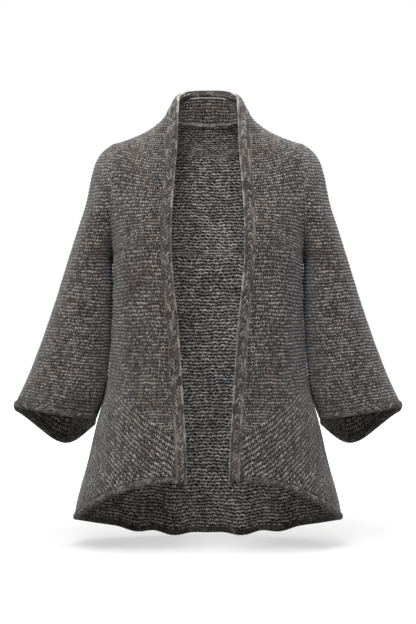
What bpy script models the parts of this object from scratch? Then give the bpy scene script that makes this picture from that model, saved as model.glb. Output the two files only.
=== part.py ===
"""An open-fronted cape sweater in chunky knit, filled out as if worn and hollow inside.

Metres, +Z up. The front of the garment faces -Y and the wearer's left is +X. The origin is in
the neck, level with the top of the shoulders. Every sheet of cloth is a wall of WALL through,
worked out from rows: a row is one smooth curve across the cloth, at about one height. The
garment is symmetric, so the tables hold the wearer's left half.
"""

import math

import bmesh
import bpy
import numpy as np

MM = 0.001

WALL = 5.0 * MM                 # the chunky knit
SEAM_GAP = 0.3 * MM             # between two pieces that are sewn together
CUFF_GAP = 1.0 * MM             # between a sleeve's pointed end and its edging
BAND_GAP = 0.5 * MM             # between the bent front band and the cloth beside it
BAND_HOLD = 10.0 * MM           # of the cloth beside the band takes on the band's direction
FRONT_BAND_DEPTH = 10.0 * MM    # of the rounded band, through the cloth
EDGING_WIDTH = 13.0 * MM        # of the rolled edging at the hem and the cuffs
EDGING_DEPTH = 11.0 * MM
ARMHOLE_X = 0.175               # the plane of the dropped armhole
SHOULDER_TIP_Z = -0.0512        # its top
UNDERARM_Z = -0.262             # its bottom
BAND_END_Z = -0.6645            # the rounded lower end of the front band
HEM_BAND_START = 0.006          # of the front's width, so that it clears the front band
CORNER_TOP_Z = -0.478           # where the slanted seam of a corner panel leaves the side seam
CORNER_FRONT_Z = -0.580         # and where it reaches the front band

SHOULDER_LINES, CAP_LINES, TUBE_LINES = 8, 11, 8
FRONT_COLUMNS, FRONT_SIDE_LINES, CORNER_LINES = 9, 5, 8
BACK_COLUMNS, BACK_SIDE_LINES = 15, 10
SLEEVE_COLUMNS = 22
COLLAR_COLUMNS, COLLAR_LINES = 7, 3
SECTION_SIDES = 8
NECK_CROWDING = 1.5             # above 1, the rows lie closer together towards the neck
FINE_STEPS = 2000               # of a curve that is looked up by height
SMALL_STEP = 1e-3               # of a share or a number, for the direction of a face there


def table(names, rows):
    """The columns of a table by name."""
    return dict(zip(names.split(), np.array(rows, float).T))


# The middle line of the front band, from the nape round the neck and down the left front.
# out, back and down point from it to the cloth that it edges.
BAND = table("x y z out back down width", (
    (0.0000, 0.0630, 0.0500, 0.00, 0.12, 1.00, 0.0140),
    (0.0280, 0.0590, 0.0488, 0.10, 0.10, 1.00, 0.0145),
    (0.0465, 0.0430, 0.0430, 0.32, 0.05, 0.95, 0.0160),
    (0.0560, 0.0200, 0.0355, 0.42, 0.00, 0.90, 0.0175),
    (0.0600, -0.0060, 0.0265, 0.56, 0.00, 0.82, 0.0190),
    (0.0625, -0.0280, 0.0115, 0.84, 0.02, 0.54, 0.0200),
    (0.0640, -0.0500, -0.0110, 0.96, 0.04, 0.27, 0.0200),
    (0.0645, -0.0690, -0.0380, 0.99, 0.05, 0.13, 0.0200),
    (0.0655, -0.0880, -0.0700, 1.00, 0.06, 0.05, 0.0200),
    (0.0690, -0.1120, -0.1200, 1.00, 0.10, 0.02, 0.0200),
    (0.0730, -0.1300, -0.1800, 1.00, 0.12, 0.00, 0.0200),
    (0.0745, -0.1370, -0.2450, 1.00, 0.15, 0.00, 0.0200),
    (0.0700, -0.1400, -0.3100, 1.00, 0.15, 0.00, 0.0200),
    (0.0635, -0.1410, -0.3700, 1.00, 0.15, 0.00, 0.0200),
    (0.0590, -0.1420, -0.4300, 1.00, 0.15, 0.00, 0.0200),
    (0.0545, -0.1440, -0.5000, 1.00, 0.15, 0.00, 0.0200),
    (0.0500, -0.1480, -0.5700, 1.00, 0.15, 0.00, 0.0200),
    (0.0470, -0.1520, -0.6300, 1.00, 0.15, 0.00, 0.0200),
    (0.0465, -0.1540, -0.6660, 1.00, 0.15, 0.00, 0.0200),
))

# The rounding of the band's lower ends: the band's size at a distance from its end.
BAND_ROUNDING = table("from_end size", (
    (0.0040, 1.00),
    (0.0012, 0.80),
    (0.0000, 0.45),
))

# The seam over the shoulder, from the front band at the neck to the top of the armhole.
SHOULDER = table("z x", (
    (0.0260, 0.0655),
    (0.0140, 0.0696),
    (0.0050, 0.0730),
    (-0.0015, 0.0775),
    (-0.0070, 0.0840),
    (-0.0185, 0.0995),
    (-0.0315, 0.1210),
    (-0.0430, 0.1490),
    (-0.0512, 0.1750),
))

# The side of the body below the underarm.
SIDE = table("z x", (
    (-0.262, 0.1750),
    (-0.285, 0.1745),
    (-0.310, 0.1743),
    (-0.367, 0.1760),
    (-0.424, 0.1794),
    (-0.481, 0.1850),
    (-0.527, 0.1945),
    (-0.555, 0.2018),
    (-0.585, 0.2098),
    (-0.620, 0.2175),
    (-0.656, 0.2265),
    (-0.691, 0.2365),
    (-0.721, 0.2435),
    (-0.735, 0.2455),
))

# Rows of the left front. edge_z is the height of the front band's middle and seam_z that of the
# shoulder, armhole or side seam. arrive is the turn to the back, in degrees, with which a row
# comes to that seam, fall its slope there, and leave_reach and arrive_reach say how far the row
# keeps each end's direction, as shares of its length.
FRONT_ROWS = table("edge_z seam_z arrive fall leave_reach arrive_reach", (
    (0.0265, 0.0190, 90, 0.00, 0.12, 0.33),
    (0.0180, 0.0120, 90, 0.00, 0.14, 0.34),
    (0.0075, 0.0040, 90, 0.00, 0.16, 0.36),
    (-0.0040, -0.0045, 89, 0.00, 0.20, 0.38),
    (-0.0160, -0.0120, 88, 0.00, 0.26, 0.40),
    (-0.0280, -0.0205, 86, 0.00, 0.32, 0.40),
    (-0.0440, -0.0315, 84, 0.00, 0.38, 0.40),
    (-0.0590, -0.0430, 80, 0.00, 0.42, 0.40),
    (-0.0720, -0.0512, 74, 0.00, 0.42, 0.36),
    (-0.0950, -0.0750, 52, 0.00, 0.42, 0.32),
    (-0.1200, -0.1050, 38, 0.00, 0.40, 0.32),
    (-0.1520, -0.1450, 40, 0.00, 0.40, 0.34),
    (-0.1850, -0.1900, 62, 0.00, 0.42, 0.36),
    (-0.2150, -0.2300, 78, 0.00, 0.44, 0.40),
    (-0.2450, -0.2620, 88, 0.00, 0.52, 0.50),
    (-0.3100, -0.3200, 90, 0.00, 0.50, 0.51),
    (-0.4000, -0.4000, 90, 0.00, 0.47, 0.49),
    (-0.4800, -0.4780, 90, 0.00, 0.45, 0.47),
    (-0.5800, -0.6150, 90, 0.06, 0.43, 0.45),
    (-0.6500, -0.7330, 90, 0.12, 0.42, 0.44),
))

# Rows of the back, from its middle to the left. depth is how far back its middle lies.
BACK_ROWS = table("middle_z depth seam_z arrive fall leave_reach arrive_reach", (
    (-0.0070, 0.0720, -0.0015, 90, 0.00, 0.36, 0.40),
    (-0.0180, 0.0790, -0.0110, 89, 0.00, 0.38, 0.40),
    (-0.0330, 0.0870, -0.0240, 87, 0.00, 0.42, 0.42),
    (-0.0480, 0.0930, -0.0380, 84, 0.00, 0.44, 0.42),
    (-0.0630, 0.0980, -0.0512, 76, 0.00, 0.48, 0.34),
    (-0.0880, 0.1040, -0.0750, 54, 0.00, 0.50, 0.25),
    (-0.1150, 0.1085, -0.1050, 42, 0.00, 0.52, 0.25),
    (-0.1500, 0.1110, -0.1450, 42, 0.00, 0.54, 0.24),
    (-0.1880, 0.1120, -0.1900, 56, 0.00, 0.56, 0.23),
    (-0.2250, 0.1120, -0.2300, 74, 0.00, 0.58, 0.30),
    (-0.2560, 0.1115, -0.2620, 89, 0.00, 0.60, 0.50),
    (-0.3200, 0.1110, -0.3200, 90, 0.00, 0.58, 0.52),
    (-0.4000, 0.1120, -0.4000, 90, 0.00, 0.54, 0.51),
    (-0.4800, 0.1155, -0.4780, 90, 0.00, 0.50, 0.49),
    (-0.5600, 0.1220, -0.5550, 90, 0.00, 0.47, 0.47),
    (-0.6600, 0.1350, -0.6380, 90, 0.06, 0.45, 0.45),
    (-0.7755, 0.1500, -0.7330, 90, 0.12, 0.44, 0.44),
))

# Soft flutes of the back hem: where each lies beside the middle, how wide and how deep it is at
# the hem, how much lower it hangs and how high it runs. A positive depth stands out.
FLUTES = table("x half_width depth hang height", (
    (0.030, 0.026, 0.007, 0.000, 0.16),
    (0.066, 0.024, -0.006, 0.007, 0.14),
    (0.102, 0.020, 0.006, 0.000, 0.12),
    (0.138, 0.022, -0.011, 0.006, 0.20),
    (0.182, 0.022, 0.006, 0.000, 0.13),
))

# Level sections of the left sleeve. Each is an oval from in_x to out_x: above the underarm the
# armhole cuts it, so in_x lies inside the body there. mid_y is its middle, front and back are
# its half depths, and drop is how far its back sinks below its front.
SLEEVE = table("in_z in_x out_z out_x mid_y front back drop", (
    (-0.0512, 0.0300, -0.0512, 0.1750, 0.000, 0.055, 0.055, 0.000),
    (-0.0650, 0.0480, -0.0650, 0.1935, 0.000, 0.065, 0.065, 0.000),
    (-0.0805, 0.0680, -0.0805, 0.2045, 0.000, 0.072, 0.072, 0.000),
    (-0.1070, 0.0950, -0.1070, 0.2138, 0.000, 0.079, 0.079, 0.000),
    (-0.1365, 0.1180, -0.1365, 0.2195, 0.000, 0.083, 0.083, 0.000),
    (-0.1660, 0.1370, -0.1660, 0.2260, 0.000, 0.084, 0.084, 0.000),
    (-0.1955, 0.1520, -0.1955, 0.2355, 0.000, 0.083, 0.083, 0.000),
    (-0.2220, 0.1620, -0.2220, 0.2440, 0.000, 0.082, 0.082, 0.000),
    (-0.2450, 0.1695, -0.2450, 0.2515, 0.000, 0.081, 0.081, 0.000),
    (-0.2620, 0.1750, -0.2620, 0.2570, 0.000, 0.080, 0.080, 0.000),
    (-0.3100, 0.1752, -0.3060, 0.2700, -0.006, 0.076, 0.076, 0.003),
    (-0.3800, 0.1770, -0.3710, 0.2905, -0.014, 0.070, 0.070, 0.011),
    (-0.4500, 0.1818, -0.4370, 0.3135, -0.022, 0.064, 0.064, 0.028),
    (-0.5100, 0.1912, -0.4910, 0.3350, -0.030, 0.059, 0.060, 0.047),
    (-0.5450, 0.2052, -0.5210, 0.3490, -0.035, 0.056, 0.057, 0.060),
))
SLEEVE_FULLNESS = 2.25          # 2 is an ellipse, and more is squarer
DROP_MIDDLE = -0.14             # where across a section the back hangs lowest, -1 is the inside
DROP_ROUNDING = 0.22            # of half a section's width that the lowest place is rounded over


def smooth(knots, values, at):
    """Values at places between knots, on cubics through the knots' values with no kink."""
    knots, values = np.asarray(knots, float), np.asarray(values, float)
    at = np.clip(np.asarray(at, float), knots[0], knots[-1])
    width = np.diff(knots)
    rise = np.diff(values) / width
    slope = np.empty_like(values)
    share = width[:-1] / (width[:-1] + width[1:])
    slope[1:-1] = rise[:-1] * (1 - share) + rise[1:] * share
    slope[0] = 1.5 * rise[0] - 0.5 * slope[1]
    slope[-1] = 1.5 * rise[-1] - 0.5 * slope[-2]
    k = np.clip(np.searchsorted(knots, at, side="right") - 1, 0, len(width) - 1)
    u = (at - knots[k]) / width[k]
    return (
        values[k] * (1 + 2 * u) * (1 - u) ** 2
        + slope[k] * width[k] * u * (1 - u) ** 2
        + values[k + 1] * u * u * (3 - 2 * u)
        - slope[k + 1] * width[k] * u * u * (1 - u)
    )


def unit(vectors):
    return vectors / np.linalg.norm(vectors, axis=-1, keepdims=True)


def points(x, y, z):
    return np.stack(np.broadcast_arrays(x, y, z), axis=-1).astype(float)


def lengths(path):
    """The distance along a path of points, from its start."""
    return np.concatenate([[0.0], np.cumsum(np.linalg.norm(np.diff(path, axis=0), axis=1))])


BAND_DISTANCE = lengths(points(BAND["x"], BAND["y"], BAND["z"]))


def band_middle(distance):
    """The front band's middle, this far along from the nape; less than 0 is the right half."""
    return points(*(band_column(name, distance) for name in "xyz"))


def band_column(name, distance):
    """A column of the band's table at a distance, mirrored where it points sideways."""
    both_ways = np.concatenate([-BAND_DISTANCE[:0:-1], BAND_DISTANCE])
    sign = -1 if name in ("x", "out") else 1
    values = np.concatenate([sign * BAND[name][:0:-1], BAND[name]])
    return smooth(both_ways, values, distance)


def band_frame(distance):
    """The band's direction along, to the cloth and outward at a distance."""
    along = unit(band_middle(distance + MM) - band_middle(distance - MM))
    towards = [band_column(name, distance) for name in ("out", "back", "down")]
    to_cloth = points(towards[0], towards[1], -towards[2])
    to_cloth = unit(to_cloth - along * (to_cloth * along).sum(-1, keepdims=True))
    return along, to_cloth, np.cross(along, to_cloth)


def band_distance(z):
    """How far down the left half of the band its middle is at this height."""
    along = np.linspace(0.0, BAND_DISTANCE[-1], FINE_STEPS)
    return np.interp(-np.asarray(z, float), -band_middle(along)[:, 2], along)


def cloth_edge(distance):
    """The outer face of the cloth where it meets the front band."""
    _, to_cloth, outward = band_frame(distance)
    reach = band_column("width", distance)[..., None] / 2 + BAND_GAP
    return band_middle(distance) + to_cloth * reach + outward * WALL / 2


def sleeve_at(in_z):
    """The sleeve's section whose inner side is at this height, as a dict of columns."""
    return {
        name: smooth(-SLEEVE["in_z"], SLEEVE[name], -np.asarray(in_z, float)) for name in SLEEVE
    }


def armhole_turn(section):
    """The angle round a section, from its outermost point, at which the armhole cuts it."""
    middle = (section["in_x"] + section["out_x"]) / 2
    half = (section["out_x"] - section["in_x"]) / 2
    share = np.clip((ARMHOLE_X - middle) / half, -1.0, 1.0)
    cosine = np.sign(share) * np.abs(share) ** (SLEEVE_FULLNESS / 2)
    return np.where(section["in_z"] <= UNDERARM_Z, math.pi, np.arccos(cosine))


def oval(section, turn):
    """Points of a section, turned from its outermost point; a positive turn is to the front."""
    power = 2 / SLEEVE_FULLNESS
    across = np.sign(np.cos(turn)) * np.abs(np.cos(turn)) ** power
    deep = np.abs(np.sin(turn)) ** power
    x = (section["in_x"] + section["out_x"]) / 2 + across * (section["out_x"] - section["in_x"]) / 2
    z = (section["in_z"] + section["out_z"]) / 2 + across * (section["out_z"] - section["in_z"]) / 2
    to_front = turn > 0
    y = section["mid_y"] + np.where(to_front, -section["front"], section["back"]) * deep
    beside = across - DROP_MIDDLE
    away = np.sqrt(beside**2 + DROP_ROUNDING**2) - DROP_ROUNDING
    share = 1 - away / (1 + np.sign(beside) * -DROP_MIDDLE)
    drop = np.where(to_front, 0.0, section["drop"]) * np.clip(share, 0.0, 1.0)
    return points(x, y, z - drop)


def seam_at(z, face):
    """The outer seam of a front (face -1) or the back (face 1): shoulder, armhole, then side."""
    z = np.asarray(z, float)
    section = sleeve_at(z)
    armhole = oval(section, -face * armhole_turn(section))
    in_armhole = (z < SHOULDER_TIP_Z) & (z > UNDERARM_Z)
    shoulder_x = smooth(-SHOULDER["z"], SHOULDER["x"], -z)
    side_x = smooth(-SIDE["z"], SIDE["x"], -z)
    x = np.where(z >= SHOULDER_TIP_Z, shoulder_x, side_x)
    x = np.where(in_armhole, ARMHOLE_X - SEAM_GAP / 2, x)
    y = np.where(in_armhole, armhole[..., 1], 0.0)
    return points(x, y + face * SEAM_GAP / 2, z)


def row_numbers(start, end):
    """Numbers from 0 to 1 for rows, as far apart as the cloth is long there."""
    steps = (np.diff(lengths(start)) + np.diff(lengths(end))) / 2
    along = np.concatenate([[0.0], np.cumsum(steps)])
    return along / along[-1]


def row_curve(start, leave, end, arrive, leave_reach, arrive_reach, share):
    """Points of one smooth curve a row, from start to end."""
    chord = np.linalg.norm(end - start, axis=-1, keepdims=True)
    first = start + leave * chord * leave_reach[..., None]
    last = end - arrive * chord * arrive_reach[..., None]
    share = share[..., None]
    return (
        start * (1 - share) ** 3
        + first * 3 * share * (1 - share) ** 2
        + last * 3 * share**2 * (1 - share)
        + end * share**3
    )


FRONT_NUMBERS = row_numbers(
    cloth_edge(band_distance(FRONT_ROWS["edge_z"])), seam_at(FRONT_ROWS["seam_z"], -1)
)
BACK_NUMBERS = row_numbers(
    points(0.0, BACK_ROWS["depth"], BACK_ROWS["middle_z"]), seam_at(BACK_ROWS["seam_z"], 1)
)


def number_at(z, row_numbers_of, heights):
    """The row number at which a column of heights passes this height."""
    fine = np.linspace(0.0, 1.0, FINE_STEPS)
    return np.interp(-np.asarray(z, float), -smooth(row_numbers_of, heights, fine), fine)


def front_at(share, number):
    """The outer face of the left front: share 0 is at the band and 1 at the outer seam."""
    row = {name: smooth(FRONT_NUMBERS, values, number) for name, values in FRONT_ROWS.items()}
    distance = band_distance(row["edge_z"])
    along, to_cloth, _ = band_frame(distance)
    level = unit(to_cloth - along * (to_cloth[..., 2] / along[..., 2])[..., None])
    turn = np.radians(row["arrive"])
    arrive = unit(points(np.cos(turn), np.sin(turn), -row["fall"]))
    start, end = cloth_edge(distance), seam_at(row["seam_z"], -1)
    return row_curve(start, level, end, arrive, row["leave_reach"], row["arrive_reach"], share)


def flutes(x, z, hem_z):
    """How far the back's soft flutes move it out and down at a place."""
    out, hang = np.zeros((2, *np.broadcast(x, z).shape))
    for middle, half_width, depth, lower, height in zip(*FLUTES.values()):
        wave = np.exp(-(((np.abs(x) - middle) / half_width) ** 2))
        fade = np.clip(1 - (z - hem_z) / height, 0.0, 1.0) ** 1.5
        out += depth * wave * fade
        hang += lower * wave * fade
    return out, hang


def back_at(share, number):
    """The outer face of the back's left half: share 0 is its middle and 1 the outer seam."""
    row = {name: smooth(BACK_NUMBERS, values, number) for name, values in BACK_ROWS.items()}
    start = points(0.0, row["depth"], row["middle_z"])
    leave = points(np.ones_like(share), 0.0, 0.0)
    turn = np.radians(row["arrive"])
    arrive = unit(points(np.cos(turn), -np.sin(turn), row["fall"]))
    end = seam_at(row["seam_z"], 1)
    face = row_curve(start, leave, end, arrive, row["leave_reach"], row["arrive_reach"], share)
    to_side = np.clip(face[..., 1] / row["depth"], 0.0, 1.0)
    out, hang = flutes(face[..., 0], face[..., 2], BACK_ROWS["middle_z"][-1])
    face[..., 1] += out * to_side
    face[..., 2] -= hang * to_side
    return face


SLEEVE_TOP_Z, SLEEVE_END_Z = -0.0516, SLEEVE["in_z"][-1]
CAP_STEPS = (1 - np.cos(np.pi * np.linspace(0.0, 1.0, CAP_LINES + 1))) / 2
CAP_HEIGHTS = SLEEVE_TOP_Z + (UNDERARM_Z - SLEEVE_TOP_Z) * CAP_STEPS


def sleeve_face(share, number):
    """The outer face of the left sleeve: share runs from its front edge round to its back."""
    section = sleeve_at(SLEEVE_TOP_Z + number * (SLEEVE_END_Z - SLEEVE_TOP_Z))
    face = oval(section, armhole_turn(section) * (1 - 2 * share))
    face[..., 0] = np.maximum(face[..., 0], ARMHOLE_X + SEAM_GAP / 2)
    return face


def normals_of(face_at, share, number):
    """Outward directions of a face, from small steps both ways along it."""
    right, left = np.minimum(share + SMALL_STEP, 1.0), np.maximum(share - SMALL_STEP, 0.0)
    below, above = np.minimum(number + SMALL_STEP, 1.0), np.maximum(number - SMALL_STEP, 0.0)
    across = face_at(right, number) - face_at(left, number)
    down = face_at(share, below) - face_at(share, above)
    outward = unit(np.cross(down, across))
    # The back's rows run the other way round the body than those of the fronts and sleeves.
    return -outward if face_at is back_at else outward


def material(name, colour):
    """Plain wool in this linear colour."""
    made = bpy.data.materials.new(name)
    made.use_nodes = True
    shader = made.node_tree.nodes["Principled BSDF"]
    shader.inputs["Base Color"].default_value = (*colour, 1.0)
    shader.inputs["Roughness"].default_value = 0.9
    shader.inputs["Metallic"].default_value = 0.0
    return made


KNIT = material("Marled wool knit", (0.085, 0.078, 0.072))
EDGING = material("Marled wool edging", (0.105, 0.096, 0.090))


def add_object(name, vertices, faces, finish):
    """A smooth-shaded object of one closed mesh."""
    mesh = bpy.data.meshes.new(name)
    mesh.from_pydata([tuple(v) for v in vertices], [], faces)
    shape = bmesh.new()
    shape.from_mesh(mesh)
    bmesh.ops.recalc_face_normals(shape, faces=shape.faces)
    bmesh.ops.triangulate(shape, faces=shape.faces)
    shape.to_mesh(mesh)
    shape.free()
    mesh.materials.append(finish)
    mesh.shade_smooth()
    mesh.set_sharp_from_angle(angle=math.radians(50))
    made = bpy.data.objects.new(name, mesh)
    bpy.context.scene.collection.objects.link(made)
    return made


def wall(name, face, inner, closed_from=None):
    """A sheet of cloth from the grids of its outer and inner face, with its rims closed.

    From the row closed_from on, the last column is the first one and the sheet is a tube.
    """
    rows, columns = face.shape[:2]
    closed_from = rows if closed_from is None else closed_from
    outer = np.arange(rows * columns).reshape(rows, columns)
    outer[closed_from:, -1] = outer[closed_from:, 0]
    behind = outer + rows * columns
    faces = []
    for i in range(rows - 1):
        for j in range(columns - 1):
            faces.append((outer[i, j], outer[i, j + 1], outer[i + 1, j + 1], outer[i + 1, j]))
            faces.append((behind[i, j], behind[i + 1, j], behind[i + 1, j + 1], behind[i, j + 1]))
    for i in (0, rows - 1):
        for j in range(columns - 1):
            faces.append((outer[i, j], outer[i, j + 1], behind[i, j + 1], behind[i, j]))
    for j in (0, columns - 1):
        for i in range(min(closed_from, rows - 1)):
            faces.append((outer[i, j], outer[i + 1, j], behind[i + 1, j], behind[i, j]))
    vertices = np.concatenate([face.reshape(-1, 3), inner.reshape(-1, 3)])
    used = np.unique(np.array(faces))
    place = np.zeros(len(vertices), int)
    place[used] = np.arange(len(used))
    return add_object(name, vertices[used], place[np.array(faces)].tolist(), KNIT)


def mirrored(grid):
    """A grid of points or directions of the left half, as the right half's."""
    return grid * np.array([-1.0, 1.0, 1.0])


def pair(name, face, inner, closed_from=None):
    """The piece of each side: the left one and its mirror image."""
    wall(f"{name}_left", face, inner, closed_from)
    wall(f"{name}_right", mirrored(face), mirrored(inner), closed_from)


def whole(grid):
    """A grid from the middle to the left, made to run from the right to the left."""
    return np.concatenate([mirrored(grid[:, :0:-1]), grid], axis=1)


def sweep(name, middle, wide, deep, ring=False):
    """A rounded bar along a path. wide and deep are half its section, as vectors at each point."""
    turn = 2 * np.pi * np.arange(SECTION_SIDES)[None, :, None] / SECTION_SIDES
    around = middle[:, None] + wide[:, None] * np.cos(turn) + deep[:, None] * np.sin(turn)
    count = len(middle)
    index = np.arange(count * SECTION_SIDES).reshape(count, SECTION_SIDES)
    faces = []
    for i in range(count if ring else count - 1):
        following = (i + 1) % count
        for j in range(SECTION_SIDES):
            beside = (j + 1) % SECTION_SIDES
            faces.append((index[i, j], index[i, beside], index[following, beside], index[following, j]))
    if not ring:
        faces += [tuple(index[0][::-1]), tuple(index[-1])]
    return add_object(name, around.reshape(-1, 3), faces, EDGING)


def edging_on(face, normals, down, ring=False):
    """Middle, width and depth vectors of the rolled edging below the edge of a sheet."""
    if ring:
        along = unit(np.roll(face, -1, axis=0) - np.roll(face, 1, axis=0))
    else:
        along = unit(np.gradient(face, axis=0))
    wide = unit(down - along * (down * along).sum(-1, keepdims=True))
    gap = CUFF_GAP if ring else SEAM_GAP
    middle = face - normals * WALL / 2 + wide * (EDGING_WIDTH / 2 + gap)
    return middle, wide * EDGING_WIDTH / 2, np.cross(along, wide) * EDGING_DEPTH / 2


def lowest_edge(face_at, share):
    """The last row of a face with its outward and its downward directions."""
    number = np.ones_like(share)
    face = face_at(share, number)
    down = unit(face - face_at(share, number - SMALL_STEP))
    return face, normals_of(face_at, share, number), down


def side_numbers(row_numbers_of, heights, side_lines, bottom):
    """Numbers of the rows of a front or the back, down to the one called bottom.

    Their ends on the armhole are level with the rows of the sleeve's cap.
    """
    tip = number_at(SHOULDER_TIP_Z, row_numbers_of, heights)
    beside_cap = number_at(CAP_HEIGHTS, row_numbers_of, heights)
    return np.concatenate([
        tip * np.linspace(0.0, 1.0, SHOULDER_LINES + 1) ** NECK_CROWDING,
        beside_cap,
        np.linspace(beside_cap[-1], bottom, side_lines + 1)[1:],
    ])


def corner_seam(share):
    """The row number at which the slanted seam of a corner panel crosses the left front."""
    top = number_at(CORNER_TOP_Z, FRONT_NUMBERS, FRONT_ROWS["seam_z"])
    front = number_at(CORNER_FRONT_Z, FRONT_NUMBERS, FRONT_ROWS["edge_z"])
    return top + (front - top) * (1 - share) ** 2


def front_lines():
    """The rows of a front, as shares of the way from the neck to the slanted seam."""
    bottom = corner_seam(1.0)
    return side_numbers(FRONT_NUMBERS, FRONT_ROWS["seam_z"], FRONT_SIDE_LINES, bottom) / bottom


def make_fronts():
    """The fronts down to the slanted seam, and the corner panels under it."""
    share = np.linspace(0.0, 1.0, FRONT_COLUMNS + 1)[None, :]
    seam = corner_seam(share)
    gap = SEAM_GAP / 2 / lengths(cloth_edge(band_distance(FRONT_ROWS["edge_z"])))[-1]
    corner_lines = np.linspace(0.0, 1.0, CORNER_LINES + 1)
    for name, lines, top, bottom in (
        ("front", front_lines(), 0.0, seam - gap), ("corner", corner_lines, seam + gap, 1.0),
    ):
        number = top + (bottom - top) * lines[:, None]
        across = np.broadcast_to(share, number.shape)
        face = front_at(across, number)
        band_z = smooth(FRONT_NUMBERS, FRONT_ROWS["edge_z"], number[:, 0])
        beside_band = band_frame(band_distance(band_z))[2][:, None]
        from_band = np.linalg.norm(face - face[:, :1], axis=-1, keepdims=True)
        turned = np.clip(from_band / BAND_HOLD, 0.0, 1.0)
        outward = beside_band * (1 - turned) + normals_of(front_at, across, number) * turned
        inner = face - WALL * unit(outward)
        inner[..., 1] = np.minimum(inner[..., 1], -SEAM_GAP / 2)
        beside_sleeve = face[..., 2] > UNDERARM_Z
        inner[..., 0] = np.where(
            beside_sleeve, np.minimum(inner[..., 0], ARMHOLE_X - SEAM_GAP / 2), inner[..., 0]
        )
        pair(name, face, inner)


def make_back():
    """The back, from side to side."""
    share, number = np.meshgrid(
        np.linspace(0.0, 1.0, BACK_COLUMNS + 1),
        side_numbers(BACK_NUMBERS, BACK_ROWS["seam_z"], BACK_SIDE_LINES, 1.0),
    )
    face = back_at(share, number)
    inner = face - WALL * normals_of(back_at, share, number)
    inner[..., 1] = np.maximum(inner[..., 1], SEAM_GAP / 2)
    inner[:, 0, 0] = 0.0
    beside_sleeve = face[..., 2] > UNDERARM_Z
    inner[..., 0] = np.where(
        beside_sleeve, np.minimum(inner[..., 0], ARMHOLE_X - SEAM_GAP / 2), inner[..., 0]
    )
    wall("back", whole(face), whole(inner))


def make_sleeves():
    """The sleeves: an open cap along the armhole, then a tube to the cuff."""
    tube = np.linspace(UNDERARM_Z, SLEEVE_END_Z, TUBE_LINES + 1)[1:]
    heights = np.concatenate([CAP_HEIGHTS, tube])
    share, number = np.meshgrid(
        np.linspace(0.0, 1.0, SLEEVE_COLUMNS + 1),
        (heights - SLEEVE_TOP_Z) / (SLEEVE_END_Z - SLEEVE_TOP_Z),
    )
    face = sleeve_face(share, number)
    inner = face - WALL * normals_of(sleeve_face, share, number)
    inner[..., 0] = np.maximum(inner[..., 0], ARMHOLE_X + SEAM_GAP / 2)
    pair("sleeve", face, inner, closed_from=CAP_LINES)
    around = np.linspace(0.0, 1.0, SLEEVE_COLUMNS + 1)[:-1]
    middle, wide, deep = edging_on(*lowest_edge(sleeve_face, around), ring=True)
    sweep("cuff_left", middle, wide, deep, ring=True)
    sweep("cuff_right", mirrored(middle), mirrored(wide), mirrored(deep), ring=True)


def collar_distances():
    """Places along the left half of the front band where the collar's columns meet it."""
    fine = np.linspace(0.0, BAND_DISTANCE[-1], FINE_STEPS)
    side = np.interp(-SEAM_GAP / 2, -cloth_edge(fine)[:, 1], fine)
    return np.linspace(0.0, side, COLLAR_COLUMNS + 1)


def make_collar():
    """The collar, which stands on the back neck seam from shoulder to shoulder."""
    distance = collar_distances()
    upper = cloth_edge(distance)
    share = np.linspace(0.0, 1.0, COLLAR_COLUMNS + 1)
    lower = back_at(share, np.zeros_like(share)) + np.array([0.0, 0.0, SEAM_GAP])
    line = np.linspace(0.0, 1.0, COLLAR_LINES + 1)[:, None, None]
    face = whole(upper[None] * (1 - line) + lower[None] * line)
    across, down = np.gradient(face, axis=1), np.gradient(face, axis=0)
    outward = unit(np.cross(across, down))
    outward[0] = whole(band_frame(distance)[2][None])
    inner = face - WALL * outward
    inner[..., 1] = np.maximum(inner[..., 1], SEAM_GAP / 2)
    wall("collar", face, inner)


def make_front_band():
    """The rounded band, from one front corner round the neck to the other."""
    seam = corner_seam(0.0)
    below = seam + (1 - seam) * np.linspace(0.0, 1.0, CORNER_LINES + 1)
    numbers = np.concatenate([front_lines() * seam, below])
    fronts = band_distance(smooth(FRONT_NUMBERS, FRONT_ROWS["edge_z"], numbers))
    end = band_distance(BAND_END_Z)
    straight = np.unique(np.concatenate([collar_distances(), fronts]))
    straight = straight[straight < end - BAND_ROUNDING["from_end"][0]]
    straight = straight[np.append(True, np.diff(straight) > SEAM_GAP)]
    left = np.append(straight, end - BAND_ROUNDING["from_end"])
    distance = np.concatenate([-left[:0:-1], left])
    _, to_cloth, outward = band_frame(distance)
    to_end = end - np.abs(distance)
    size = np.interp(to_end, BAND_ROUNDING["from_end"][::-1], BAND_ROUNDING["size"][::-1])[:, None]
    wide = to_cloth * band_column("width", distance)[:, None] / 2 * size
    sweep("front_band", band_middle(distance), wide, outward * FRONT_BAND_DEPTH / 2 * size)


def make_hem_band():
    """The rolled edging, from one front corner round the sides and the back to the other."""
    front_share = np.linspace(0.0, 1.0, FRONT_COLUMNS + 1)
    front_share[0] = HEM_BAND_START
    back_share = np.linspace(1.0, 0.0, BACK_COLUMNS + 1)[1:]
    edges = [
        np.concatenate(grids)
        for grids in zip(lowest_edge(front_at, front_share), lowest_edge(back_at, back_share))
    ]
    both = [np.concatenate([grid, mirrored(grid[-2::-1])]) for grid in edges]
    sweep("hem_band", *edging_on(*both))


for thing in list(bpy.data.objects):
    bpy.data.objects.remove(thing)
make_fronts()
make_back()
make_sleeves()
make_collar()
make_front_band()
make_hem_band()
garment = bpy.data.objects.new("cape_sweater", None)
bpy.context.scene.collection.objects.link(garment)
for piece in list(bpy.data.objects):
    if piece is not garment:
        piece.parent = garment
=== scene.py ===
"""The looks of an open-fronted cape sweater in chunky marled wool knit, for Blender.

The cloth's rows and edges are the CAD model's own, so each sheet lies on its solid. A sheet is
laid out stitch by stitch: a lattice whose lines follow the knit rows and whose columns are a
fixed number of stitches apart, raised into ridges on both faces.
"""

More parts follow.
